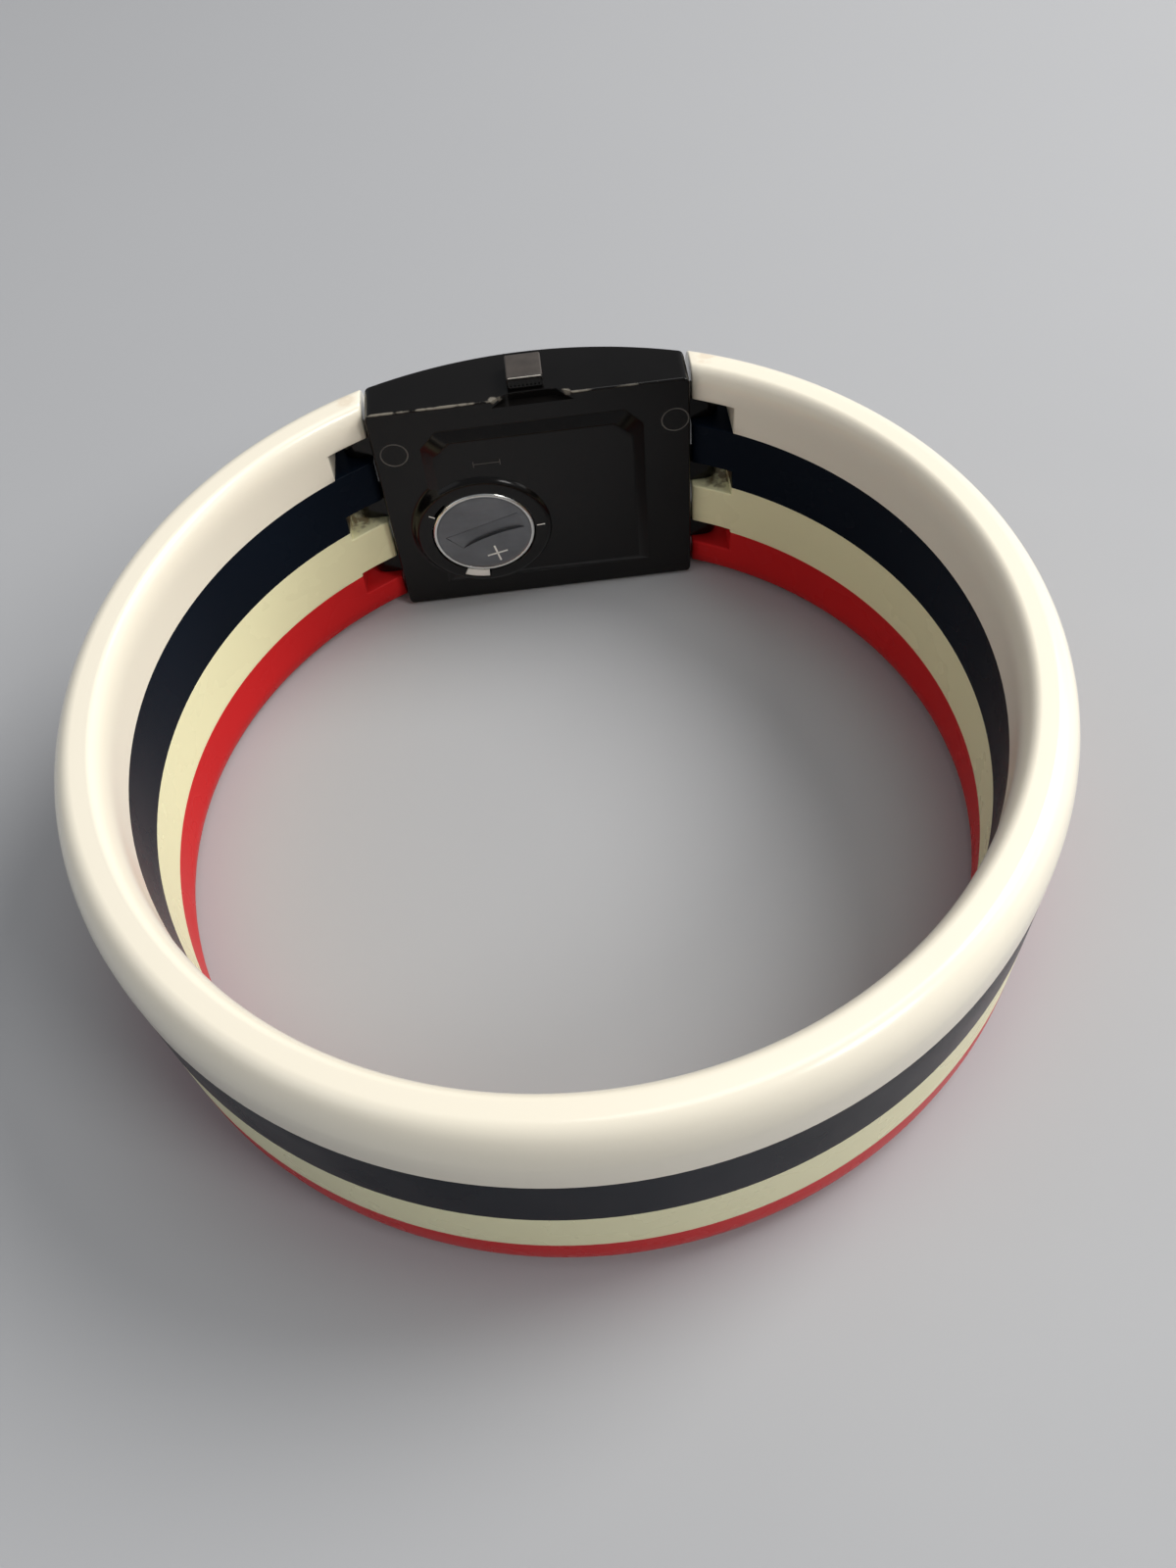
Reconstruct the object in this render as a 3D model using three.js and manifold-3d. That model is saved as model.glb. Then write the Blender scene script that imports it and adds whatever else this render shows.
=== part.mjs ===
// A slip-over striped plastic bangle wristwatch, standing on its edge.
//
// Frame: millimetres, +Z is the bangle's axis, +Y points out through the dial, and the origin is under the
// middle of the whole watch, on the surface that it stands on. Depths in the head (the case and what it
// holds) are counted from the flat back plane of the case towards the dial.
import * as THREE from 'three';
import { mergeVertices } from 'three/addons/utils/BufferGeometryUtils.js';
import Module from 'manifold-3d';

const wasm = await Module();
wasm.setup();

// ---- Bangle ----
const WRIST_RADIUS = 30.5;
const BAND_THICKNESS = 3.96;
const BAND_WIDTH = 21.64;
const EDGE_ROUND = 1.2;
const RED_HEIGHT = 5.32;
const CREAM_HEIGHT = 5.2;
const NAVY_HEIGHT = 5.85;
const RING_STEPS = 72;

// ---- Case ----
const CASE_LENGTH = 26;
const CASE_EDGE_MARGIN = 0.07;
const CASE_RISE = 0.15;
const CASE_END_DEPTH = 3.5;
const CASE_MID_DEPTH = 5.95;
const CASE_CORNER = 0.7;
const BACK_WALL = 0.9;
const SIDE_WALL = 2.05;
const END_WALL = 2.4;

// ---- Lugs, their slots and pins ----
const LUG_COUNT = 3;
const LUG_PITCH = 6.62;
const LUG_WIDTH = 2.2;
const LUG_RADIUS = 1.1;
const LUG_SIDE_CLEARANCE = 0.15;
const LUG_END_CLEARANCE = 0.8;
const FINGER_GAP = 0.6;
const PIN_OUT = 1.5;
const PIN_DEPTH = 2.45;
const PIN_RADIUS = 0.55;
const PIN_CLEARANCE = 0.05;
const PIN_RECESS = 0.5;

// ---- Case back: platform, hatch boss, battery ----
const PLATFORM_LENGTH = 18.5;
const PLATFORM_WIDTH = 17;
const PLATFORM_PROUD = 0.5;
const PLATFORM_BEVEL = 1.1;
const PLATFORM_CHAMFER = 1.5;
const CELL_TO_CENTRE = 2.155;
const BATTERY_Z = -2.2;
const BOSS_PROUD = 0.95;
const BOSS_LAND = 0.92;
const BOSS_FLANK = 1.1;
const HATCH_LEDGE_WIDTH = 0.78;
const HATCH_THICKNESS = 0.65;
const HATCH_CLEARANCE = 0.07;
const HATCH_TABS = 3;
const HATCH_TAB_REACH = 0.3;
const HATCH_TAB_THICKNESS = 0.2;
const HATCH_TAB_HALF_ANGLE = 0.16;
const HATCH_UNLOCK_ANGLE = Math.PI / 3;
const HATCH_ENTRY_ANGLE = -1.75;
const COIN_SLOT_LENGTH = 6.4;
const COIN_SLOT_WIDTH = 1.3;
const COIN_SLOT_DEPTH = 0.25;
const COIN_SLOT_ANGLE = 0.22;
const CELL_RADIUS = 3.4;
const CELL_THICKNESS = 2.6;
const CELL_CLEARANCE = 0.2;
const CELL_HATCH_GAP = 0.1;
const GASKET_SECTION = 0.28;

// ---- Crystal, dial and hands ----
const CRYSTAL_THICKNESS = 0.8;
const CRYSTAL_OVERLAP = 0.8;
const CRYSTAL_CLEARANCE = 0.05;
const DIAL_THICKNESS = 0.2;
const DIAL_CLEARANCE = 0.3;
const HAND_THICKNESS = 0.12;
const HAND_LAYER = 0.28;
const HOUR_HAND_LENGTH = 5;
const MINUTE_HAND_LENGTH = 7.2;
const SECOND_HAND_LENGTH = 7.5;
const TIME_SHOWN = { hours: 10, minutes: 9, seconds: 35 };
const BATON_COUNT = 12;
const BATON_PROUD = 0.08;

// ---- Movement plates ----
const PLATE_DEPTH = 2.2;
const PLATE_THICKNESS = 0.4;
const BRIDGE_DEPTH = 0.98;
const BRIDGE_THICKNESS = 0.22;
const BRIDGE_LEFT = 1.3;
const BRIDGE_RIGHT_MARGIN = 0.56;
const BRIDGE_LOW_MARGIN = 1.65;
const BRIDGE_HIGH_MARGIN = 1.7;
const POST_RADIUS = 0.6;
const LEG_RADIUS = 0.3;
const RUNNING_GAP = 0.04;
const SEAT_GAP = 0.02;
const PIVOT_RADIUS = 0.08;
const ARBOR_RADIUS = 0.12;
const PAD_RADIUS = 0.7;
const CORNER_INSET = 1;
const SECOND_ARBOR_RADIUS = 0.15;
const CENTRE_TUBE_RADIUS = 0.36;
const HOUR_TUBE_RADIUS = 0.58;

// ---- Gears ----
const PINION_LEAVES = 6;
const INTERMEDIATE_TEETH = 36;
const SECOND_TEETH = 30;
const THIRD_TEETH = 45;
const CENTRE_TEETH = 48;
const CANNON_LEAVES = 8;
const MINUTE_TEETH = 24;
const MINUTE_PINION_LEAVES = 8;
const HOUR_TEETH = 32;
const SETTING_TEETH = 14;
const WHEEL_THICKNESS = 0.1;
const PINION_THICKNESS = 0.18;
const ROTOR_DISTANCE = 1.89;
const INTERMEDIATE_DISTANCE = 2.124;
const THIRD_DISTANCE = 2.025;
const MINUTE_DISTANCE = 2.1;
const ROTOR_DIRECTION = 0.35;
const INTERMEDIATE_DIRECTION = Math.PI / 3;
const THIRD_DIRECTION = -Math.PI / 3;
const MINUTE_DIRECTION = Math.PI / 2;
const INTERMEDIATE_WHEEL_DEPTH = 1.3;
const SECOND_WHEEL_DEPTH = 1.48;
const THIRD_WHEEL_DEPTH = 1.68;
const CENTRE_WHEEL_DEPTH = 1.9;
const MINUTE_WHEEL_DEPTH = 2.68;
const HOUR_WHEEL_DEPTH = 2.87;

// ---- Motor and electronics ----
const ROTOR_RADIUS = 0.9;
const ROTOR_AIR_GAP = 0.2;
const STATOR_DEPTH = 1.75;
const STATOR_THICKNESS = 0.3;
const COIL_RADIUS = 0.58;
const COIL_BORE = 0.33;
const COIL_Z = 5.9;
const COIL_START = 3.2;
const COIL_END = 8;
const CORE_THICKNESS = 0.3;
const CORE_WIDTH = 0.5;
const CORE_END_WIDTH = 1.2;
const CORE_END_LENGTH = 1.3;
const BOARD_DEPTH = 0.95;
const BOARD_THICKNESS = 0.25;
const CHIP_SIZE = 2.2;
const CAN_POST_GAP = 0.2;
const CHIP_THICKNESS = 0.5;
const CAN_RADIUS = 0.58;
const CAN_LENGTH = 5;
const CONTACT_THICKNESS = 0.12;
const CONTACT_WIDTH = 1.6;
const CONTACT_LANDING = 0.55;
const CONTACT_BEND_INSET = 0.3;

// ---- Crown, stem and setting parts ----
const CROWN_SIZE = 2.9;
const CROWN_PROUD = 1.3;
const CROWN_GAP = 0.06;
const STEM_DEPTH = 2.4;
const STEM_RADIUS = 0.42;
const STEM_INNER_END = 5.3;
const STEM_SQUARE_END = 7.05;
const STEM_CLEARANCE = 0.08;
const STEM_SQUARE = 0.46;
const STEM_PULL = 0.9;
const SETTING_PINION_RADIUS = 0.58;
const SETTING_PINION_START = 5.95;
const SETTING_PINION_LENGTH = 0.9;
const CROWN_GASKET_RADIUS = 0.85;
const CROWN_GASKET_LENGTH = 0.5;
const LEVER_ARM = 2.22;
const LEVER_THICKNESS = 0.12;
const LEVER_HALF_WIDTH = 0.45;
const LEVER_POST_RADIUS = 0.1;
const LEVER_POST_CLEARANCE = 0.05;
const LEVER_GROOVE_RADIUS = 0.24;
const LEVER_PIVOT_Z = 7.7;
const LEVER_PIVOT_RADIUS = 0.28;
const WHEEL_POST_RADIUS = 0.22;
const SCOOP_HALF_WIDTH = 3.3;
const SCOOP_FLOOR_HALF_WIDTH = 1.45;
const SCOOP_DEPTH = 0.8;
const SCOOP_X = 0.4;
const SCOOP_REACH = 0.7;

// ---- Worked out from the sizes above ----
const BAND_RADIUS = WRIST_RADIUS + BAND_THICKNESS;
const CASE_WIDTH = BAND_WIDTH - 2 * CASE_EDGE_MARGIN;
const PIN_X = CASE_LENGTH / 2 + PIN_OUT;
const PIN_RING_RADIUS = WRIST_RADIUS + BAND_THICKNESS / 2;
const CASE_BACK = Math.sqrt(PIN_RING_RADIUS ** 2 - PIN_X ** 2) - PIN_DEPTH;
const CASE_FRONT = CASE_BACK + CASE_MID_DEPTH;
const RING_Y = (BAND_RADIUS - CASE_FRONT) / 2;
const BACK_Y = RING_Y + CASE_BACK;
const MID_Z = BAND_WIDTH / 2;
const CASE_MID_Z = MID_Z + CASE_RISE;
const CASE_SAG = CASE_MID_DEPTH - CASE_END_DEPTH;
const FRONT_RADIUS = ((CASE_LENGTH / 2) ** 2 + CASE_SAG ** 2) / (2 * CASE_SAG);
const FINGER_TIP_X = CASE_LENGTH / 2 + FINGER_GAP;
const SLOT_END_X = PIN_X + LUG_RADIUS + LUG_END_CLEARANCE;
const SLOT_HEIGHT = LUG_WIDTH + 2 * LUG_SIDE_CLEARANCE;
const CAVITY_LENGTH = CASE_LENGTH - 2 * END_WALL;
const CAVITY_WIDTH = CASE_WIDTH - 2 * SIDE_WALL;
const CRYSTAL_LENGTH = CAVITY_LENGTH + 2 * CRYSTAL_OVERLAP;
const CRYSTAL_WIDTH = CAVITY_WIDTH + 2 * CRYSTAL_OVERLAP;
const HATCH_DEPTH = -BOSS_PROUD;
const HATCH_FLOOR = HATCH_DEPTH + HATCH_THICKNESS;
const HATCH_LEDGE = HATCH_FLOOR + GASKET_SECTION + SEAT_GAP;
const CELL_DEPTH = HATCH_FLOOR + CELL_HATCH_GAP;
const CELL_WELL_RADIUS = CELL_RADIUS + CELL_CLEARANCE;
const HATCH_RADIUS = CELL_WELL_RADIUS + HATCH_LEDGE_WIDTH;
const TAB_RADIUS = HATCH_RADIUS + HATCH_TAB_REACH;
const BOSS_TOP_RADIUS = HATCH_RADIUS + BOSS_LAND;
const BOSS_BASE_RADIUS = BOSS_TOP_RADIUS + BOSS_FLANK;
const BATTERY_X = -Math.sqrt((CELL_RADIUS + CELL_TO_CENTRE) ** 2 - BATTERY_Z ** 2);
const LEVER_DEPTH = STEM_DEPTH + STEM_RADIUS + STEM_CLEARANCE;
const DIAL_DEPTH = LEVER_DEPTH + LEVER_THICKNESS + STEM_CLEARANCE;
const PLATE_TOP = PLATE_DEPTH + PLATE_THICKNESS;
const POST_TOP = DIAL_DEPTH - 2 * RUNNING_GAP;
const PLATE_LENGTH = CAVITY_LENGTH - 2 * DIAL_CLEARANCE;
const PLATE_WIDTH = CAVITY_WIDTH - 2 * DIAL_CLEARANCE;
const DIAL_TOP = DIAL_DEPTH + DIAL_THICKNESS;
const HOUR_HAND_DEPTH = DIAL_TOP + HAND_LAYER - HAND_THICKNESS / 2;
const MINUTE_HAND_DEPTH = HOUR_HAND_DEPTH + HAND_LAYER;
const SECOND_HAND_DEPTH = MINUTE_HAND_DEPTH + HAND_LAYER;
const INTERMEDIATE_AT = polar(INTERMEDIATE_DISTANCE, INTERMEDIATE_DIRECTION);
const THIRD_AT = polar(THIRD_DISTANCE, THIRD_DIRECTION);
const MINUTE_AT = polar(MINUTE_DISTANCE, MINUTE_DIRECTION);
const ROTOR_AT = polar(ROTOR_DISTANCE, ROTOR_DIRECTION, INTERMEDIATE_AT);
const SETTING_AT = [0, MINUTE_DISTANCE + settingDistance()];
const PULL_ANGLE = Math.asin(STEM_PULL / 2 / LEVER_ARM);
const LEVER_POST_X = LEVER_POST_CLEARANCE + LEVER_GROOVE_RADIUS + LEVER_POST_RADIUS;
const LEVER_PIVOT_X = LEVER_POST_X + LEVER_ARM * Math.cos(PULL_ANGLE);
const LEVER_POST_Z = LEVER_PIVOT_Z - LEVER_ARM * Math.sin(PULL_ANGLE);
const GASKET_Z = (CAVITY_WIDTH + CASE_WIDTH) / 4 - CROWN_GASKET_LENGTH / 2;

function polar(distance, angle, from = [0, 0]) {
  return [from[0] + distance * Math.cos(angle), from[1] + distance * Math.sin(angle)];
}

function moduleOf(distance, teethA, teethB) {
  return (2 * distance) / (teethA + teethB);
}

// The setting wheel has the minute wheel's tooth size.
function settingDistance() {
  return (moduleOf(MINUTE_DISTANCE, CANNON_LEAVES, MINUTE_TEETH) * (MINUTE_TEETH + SETTING_TEETH)) / 2;
}

// ---- Solids ----
function toSolid(geometry) {
  geometry.deleteAttribute('normal');
  geometry.deleteAttribute('uv');
  const merged = mergeVertices(geometry, 1e-5);
  const vertProperties = new Float32Array(merged.attributes.position.array);
  const triVerts = new Uint32Array(merged.index.array);
  return new wasm.Manifold(new wasm.Mesh({ numProp: 3, vertProperties, triVerts }));
}

function toGeometry(solid) {
  const mesh = solid.getMesh();
  const geometry = new THREE.BufferGeometry();
  geometry.setAttribute('position', new THREE.BufferAttribute(new Float32Array(mesh.vertProperties), 3));
  geometry.setIndex(new THREE.BufferAttribute(new Uint32Array(mesh.triVerts), 1));
  geometry.computeVertexNormals();
  return geometry;
}

function box(x0, x1, y0, y1, z0, z1) {
  const geometry = new THREE.BoxGeometry(x1 - x0, y1 - y0, z1 - z0);
  return toSolid(geometry.translate((x0 + x1) / 2, (y0 + y1) / 2, (z0 + z1) / 2));
}

// A cylinder along the depth, from one depth to another, at a place in the head.
function disc(radius, depth0, depth1, at = [0, 0], sides = 24, radius1 = radius) {
  const geometry = new THREE.CylinderGeometry(radius1, radius, depth1 - depth0, sides);
  return toSolid(geometry.translate(at[0], (depth0 + depth1) / 2, at[1]));
}

// A cylinder along Z.
function rod(radius, z0, z1, x, depth, sides = 24) {
  const geometry = new THREE.CylinderGeometry(radius, radius, z1 - z0, sides);
  geometry.rotateX(Math.PI / 2);
  return toSolid(geometry.translate(x, depth, (z0 + z1) / 2));
}

function ring(outer, inner, depth0, depth1, at, sides = 24) {
  return disc(outer, depth0, depth1, at, sides).subtract(disc(inner, depth0 - 1, depth1 + 1, at, sides));
}

function shapeOf(points) {
  return new THREE.Shape(points.map(([a, b]) => new THREE.Vector2(a, b)));
}

// A flat plate of the given outline, (x, z) points, between two depths.
function plate(points, depth0, depth1) {
  const geometry = new THREE.ExtrudeGeometry(shapeOf(points), { depth: depth1 - depth0,
    bevelEnabled: false });
  geometry.rotateX(Math.PI / 2);
  return toSolid(geometry.translate(0, depth1, 0));
}

// A bar whose (x, depth) outline runs along Z.
function bar(points, z0, z1) {
  const geometry = new THREE.ExtrudeGeometry(shapeOf(points), { depth: z1 - z0, bevelEnabled: false });
  return toSolid(geometry.translate(0, 0, z0));
}

function arcPoints(radius, centre, from, to, steps) {
  const points = [];
  for (let i = 0; i <= steps; i += 1) {
    points.push(polar(radius, from + ((to - from) * i) / steps, centre));
  }
  return points;
}

function roundedRectangle(length, width, corner, steps = 4) {
  const x = length / 2 - corner;
  const z = width / 2 - corner;
  const quarter = Math.PI / 2;
  return [[x, z], [-x, z], [-x, -z], [x, -z]].flatMap((centre, i) =>
    arcPoints(corner, centre, i * quarter, (i + 1) * quarter, steps));
}

// The points of a gear's outline. Each tooth is a point, or a flat tip if tipShare is over 0.
function gearOutline(teeth, size, phase, tipShare = 0) {
  const tip = size * (teeth / 2 + 0.75);
  const root = size * (teeth / 2 - 1.1);
  const pitch = (2 * Math.PI) / teeth;
  const points = [];
  for (let i = 0; i < teeth; i += 1) {
    const angle = phase + i * pitch;
    if (tipShare > 0) {
      points.push(polar(root, angle - pitch * 0.32), polar(tip, angle - (pitch * tipShare) / 2));
      points.push(polar(tip, angle + (pitch * tipShare) / 2), polar(root, angle + pitch * 0.32));
    } else {
      points.push(polar(tip, angle), polar(root, angle + pitch / 2));
    }
  }
  return points;
}

function gear(teeth, size, phase, depth0, depth1, tipShare = 0) {
  return plate(gearOutline(teeth, size, phase, tipShare), depth0, depth1);
}

// The tooth phase of a gear that meshes with another, seen in a given direction from that one's centre.
function meshPhase(direction, teethA, phaseA, teethB) {
  return direction + Math.PI + Math.PI / teethB - ((phaseA - direction) * teethA) / teethB;
}

function pinionAt(leaves, size, phase, depth) {
  return gear(leaves, size, phase, depth - PINION_THICKNESS / 2, depth + PINION_THICKNESS / 2, 0.2);
}

function wheelAt(teeth, size, phase, depth) {
  return gear(teeth, size, phase, depth, depth + WHEEL_THICKNESS);
}

// An arbor between the bridge and the main plate, with a thin pivot into each.
function arbor(radius) {
  const shaft = disc(radius, BRIDGE_DEPTH + BRIDGE_THICKNESS + RUNNING_GAP, PLATE_DEPTH - RUNNING_GAP,
    [0, 0], 12);
  return shaft.add(disc(PIVOT_RADIUS, BRIDGE_DEPTH, PLATE_DEPTH + PLATE_THICKNESS / 2, [0, 0], 12));
}

const ROTOR_SIZE = moduleOf(ROTOR_DISTANCE, PINION_LEAVES, INTERMEDIATE_TEETH);
const INTERMEDIATE_SIZE = moduleOf(INTERMEDIATE_DISTANCE, PINION_LEAVES, SECOND_TEETH);
const THIRD_SIZE = moduleOf(THIRD_DISTANCE, PINION_LEAVES, THIRD_TEETH);
const CENTRE_SIZE = moduleOf(THIRD_DISTANCE, PINION_LEAVES, CENTRE_TEETH);
const CANNON_SIZE = moduleOf(MINUTE_DISTANCE, CANNON_LEAVES, MINUTE_TEETH);
const HOUR_SIZE = moduleOf(MINUTE_DISTANCE, MINUTE_PINION_LEAVES, HOUR_TEETH);

function makeRotor() {
  const phase = meshPhase(ROTOR_DIRECTION, INTERMEDIATE_TEETH, ROTOR_DIRECTION, PINION_LEAVES);
  const magnetTop = PLATE_DEPTH - 3 * RUNNING_GAP;
  return arbor(ARBOR_RADIUS)
    .add(pinionAt(PINION_LEAVES, ROTOR_SIZE, phase, INTERMEDIATE_WHEEL_DEPTH + WHEEL_THICKNESS / 2))
    .add(disc(ROTOR_RADIUS, STATOR_DEPTH - 0.15, magnetTop, [0, 0], 20));
}

function makeIntermediateWheel() {
  const direction = INTERMEDIATE_DIRECTION;
  const phase = meshPhase(direction, SECOND_TEETH, direction, PINION_LEAVES);
  return arbor(ARBOR_RADIUS)
    .add(wheelAt(INTERMEDIATE_TEETH, ROTOR_SIZE, ROTOR_DIRECTION, INTERMEDIATE_WHEEL_DEPTH))
    .add(pinionAt(PINION_LEAVES, INTERMEDIATE_SIZE, phase, SECOND_WHEEL_DEPTH + WHEEL_THICKNESS / 2));
}

function makeSecondWheel() {
  const phase = meshPhase(THIRD_DIRECTION + Math.PI, THIRD_TEETH, THIRD_DIRECTION + Math.PI, PINION_LEAVES);
  const shaftStart = BRIDGE_DEPTH + BRIDGE_THICKNESS + RUNNING_GAP;
  return disc(SECOND_ARBOR_RADIUS, shaftStart, SECOND_HAND_DEPTH + HAND_THICKNESS, [0, 0], 16)
    .add(disc(PIVOT_RADIUS, BRIDGE_DEPTH, shaftStart + RUNNING_GAP, [0, 0], 12))
    .add(wheelAt(SECOND_TEETH, INTERMEDIATE_SIZE, INTERMEDIATE_DIRECTION, SECOND_WHEEL_DEPTH))
    .add(pinionAt(PINION_LEAVES, THIRD_SIZE, phase, THIRD_WHEEL_DEPTH + WHEEL_THICKNESS / 2));
}

function makeThirdWheel() {
  const direction = THIRD_DIRECTION;
  const phase = meshPhase(direction, CENTRE_TEETH, direction, PINION_LEAVES);
  return arbor(ARBOR_RADIUS)
    .add(wheelAt(THIRD_TEETH, THIRD_SIZE, direction + Math.PI, THIRD_WHEEL_DEPTH))
    .add(pinionAt(PINION_LEAVES, CENTRE_SIZE, phase, CENTRE_WHEEL_DEPTH + WHEEL_THICKNESS / 2));
}

// The centre wheel carries the cannon pinion and the minute hand on one tube.
function makeCentreWheel() {
  return disc(CENTRE_TUBE_RADIUS, CENTRE_WHEEL_DEPTH, MINUTE_HAND_DEPTH + HAND_THICKNESS, [0, 0], 20)
    .add(wheelAt(CENTRE_TEETH, CENTRE_SIZE, THIRD_DIRECTION, CENTRE_WHEEL_DEPTH))
    .add(pinionAt(CANNON_LEAVES, CANNON_SIZE, MINUTE_DIRECTION, MINUTE_WHEEL_DEPTH + WHEEL_THICKNESS / 2))
    .subtract(disc(SECOND_ARBOR_RADIUS + RUNNING_GAP, 0, CASE_MID_DEPTH, [0, 0], 16));
}

const MINUTE_PHASE = meshPhase(MINUTE_DIRECTION, CANNON_LEAVES, MINUTE_DIRECTION, MINUTE_TEETH);

function makeMinuteWheel() {
  return wheelAt(MINUTE_TEETH, CANNON_SIZE, MINUTE_PHASE, MINUTE_WHEEL_DEPTH)
    .add(gear(MINUTE_PINION_LEAVES, HOUR_SIZE, MINUTE_DIRECTION + Math.PI, MINUTE_WHEEL_DEPTH,
      POST_TOP, 0.2))
    .subtract(disc(WHEEL_POST_RADIUS + RUNNING_GAP, 0, CASE_MID_DEPTH, [0, 0], 16));
}

function makeHourWheel() {
  const direction = MINUTE_DIRECTION + Math.PI;
  const phase = meshPhase(direction, MINUTE_PINION_LEAVES, direction, HOUR_TEETH);
  return disc(HOUR_TUBE_RADIUS, HOUR_WHEEL_DEPTH, HOUR_HAND_DEPTH + HAND_THICKNESS, [0, 0], 20)
    .add(wheelAt(HOUR_TEETH, HOUR_SIZE, phase, HOUR_WHEEL_DEPTH))
    .subtract(disc(CENTRE_TUBE_RADIUS + RUNNING_GAP, 0, CASE_MID_DEPTH, [0, 0], 20));
}

function makeSettingWheel() {
  const phase = meshPhase(MINUTE_DIRECTION, MINUTE_TEETH, MINUTE_PHASE, SETTING_TEETH);
  return wheelAt(SETTING_TEETH, CANNON_SIZE, phase, MINUTE_WHEEL_DEPTH)
    .subtract(disc(WHEEL_POST_RADIUS + RUNNING_GAP, 0, CASE_MID_DEPTH, [0, 0], 16));
}

// ---- Bangle ----
function bandProfile() {
  const corner = EDGE_ROUND;
  const centres = [
    [WRIST_RADIUS + corner, BAND_WIDTH - corner, Math.PI / 2],
    [WRIST_RADIUS + corner, corner, Math.PI],
    [BAND_RADIUS - corner, corner, 1.5 * Math.PI],
    [BAND_RADIUS - corner, BAND_WIDTH - corner, 0],
  ];
  const points = centres.flatMap(([r, z, start]) => arcPoints(corner, [r, z], start,
    start + Math.PI / 2, 2));
  return [...points, points[0]].map(([r, z]) => new THREE.Vector2(r, z));
}

function makeBangle() {
  const lathe = new THREE.LatheGeometry(bandProfile(), RING_STEPS);
  lathe.rotateX(Math.PI / 2);
  lathe.translate(0, RING_Y, 0);
  let band = toSolid(lathe);
  const top = BAND_WIDTH + 1;
  const front = RING_Y + BAND_RADIUS + 1;
  band = band.subtract(box(-FINGER_TIP_X, FINGER_TIP_X, RING_Y, front, -1, top));
  for (const z of lugHeights()) {
    const slotZ = CASE_MID_Z + z;
    band = band.subtract(
      box(-SLOT_END_X, SLOT_END_X, RING_Y, front, slotZ - SLOT_HEIGHT / 2, slotZ + SLOT_HEIGHT / 2));
  }
  for (const x of [-PIN_X, PIN_X]) {
    band = band.subtract(rod(PIN_RADIUS + PIN_CLEARANCE, -1, top, x, BACK_Y + PIN_DEPTH, 16));
  }
  return band;
}

function lugHeights() {
  return Array.from({ length: LUG_COUNT }, (_, i) => (i - (LUG_COUNT - 1) / 2) * LUG_PITCH);
}

function slice(band, z0, z1) {
  const reach = 2 * BAND_RADIUS;
  return band.intersect(box(-reach, reach, -reach, reach, z0, z1));
}

function makeLugPin(x) {
  return rod(PIN_RADIUS, PIN_RECESS, BAND_WIDTH - PIN_RECESS, x, BACK_Y + PIN_DEPTH, 16);
}

// ---- Case ----
function frontArc(radius, halfLength, steps) {
  const centre = [0, CASE_MID_DEPTH - FRONT_RADIUS];
  const reach = Math.asin(halfLength / radius);
  return arcPoints(radius, centre, Math.PI / 2 - reach, Math.PI / 2 + reach, steps);
}

function makeShell() {
  const half = CASE_LENGTH / 2;
  const outline = [[-half, 0], [half, 0], ...frontArc(FRONT_RADIUS, half, 16)];
  const rounded = plate(roundedRectangle(CASE_LENGTH, CASE_WIDTH, CASE_CORNER), -1, CASE_MID_DEPTH + 1);
  return bar(outline, -CASE_WIDTH / 2, CASE_WIDTH / 2).intersect(rounded);
}

function makeLug(side, z) {
  const root = CASE_LENGTH / 2 - 1;
  const nose = arcPoints(LUG_RADIUS, [PIN_X, PIN_DEPTH], -Math.PI / 2, Math.PI / 2, 8);
  const outline = [[root, PIN_DEPTH - LUG_RADIUS], ...nose, [root, PIN_DEPTH + LUG_RADIUS]];
  const placed = outline.map(([x, depth]) => [side * x, depth]);
  return bar(side > 0 ? placed : placed.reverse(), z - LUG_WIDTH / 2, z + LUG_WIDTH / 2);
}

// The raised platform's bevelled back half shows, and its other half lies inside the back wall.
function makePlatform() {
  const x = PLATFORM_LENGTH / 2;
  const z = PLATFORM_WIDTH / 2;
  const cut = PLATFORM_CHAMFER;
  const outline = [[-x, -z], [x, -z], [x, z - cut], [x - cut, z], [cut - x, z], [-x, z - cut]];
  const geometry = new THREE.ExtrudeGeometry(shapeOf(outline), {
    depth: 0.01,
    bevelThickness: PLATFORM_PROUD,
    bevelSize: PLATFORM_BEVEL,
    bevelOffset: -PLATFORM_BEVEL,
    bevelSegments: 1,
  });
  return toSolid(geometry.rotateX(Math.PI / 2));
}

function makeBoss() {
  const slope = (BOSS_BASE_RADIUS - BOSS_TOP_RADIUS) / BOSS_PROUD;
  const sunk = BACK_WALL / 2;
  return disc(BOSS_TOP_RADIUS, -BOSS_PROUD, sunk, [BATTERY_X, BATTERY_Z], 40,
    BOSS_BASE_RADIUS + slope * sunk);
}

function tabAngles(start) {
  return Array.from({ length: HATCH_TABS }, (_, i) => start + (i * 2 * Math.PI) / HATCH_TABS);
}

// A sector block about the hatch's centre, out to a radius.
function sector(radius, halfAngle, angle, depth0, depth1) {
  const rim = arcPoints(radius, [0, 0], angle - halfAngle, angle + halfAngle, 3);
  return plate([polar(HATCH_RADIUS / 2, angle), ...rim], depth0, depth1);
}

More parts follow.
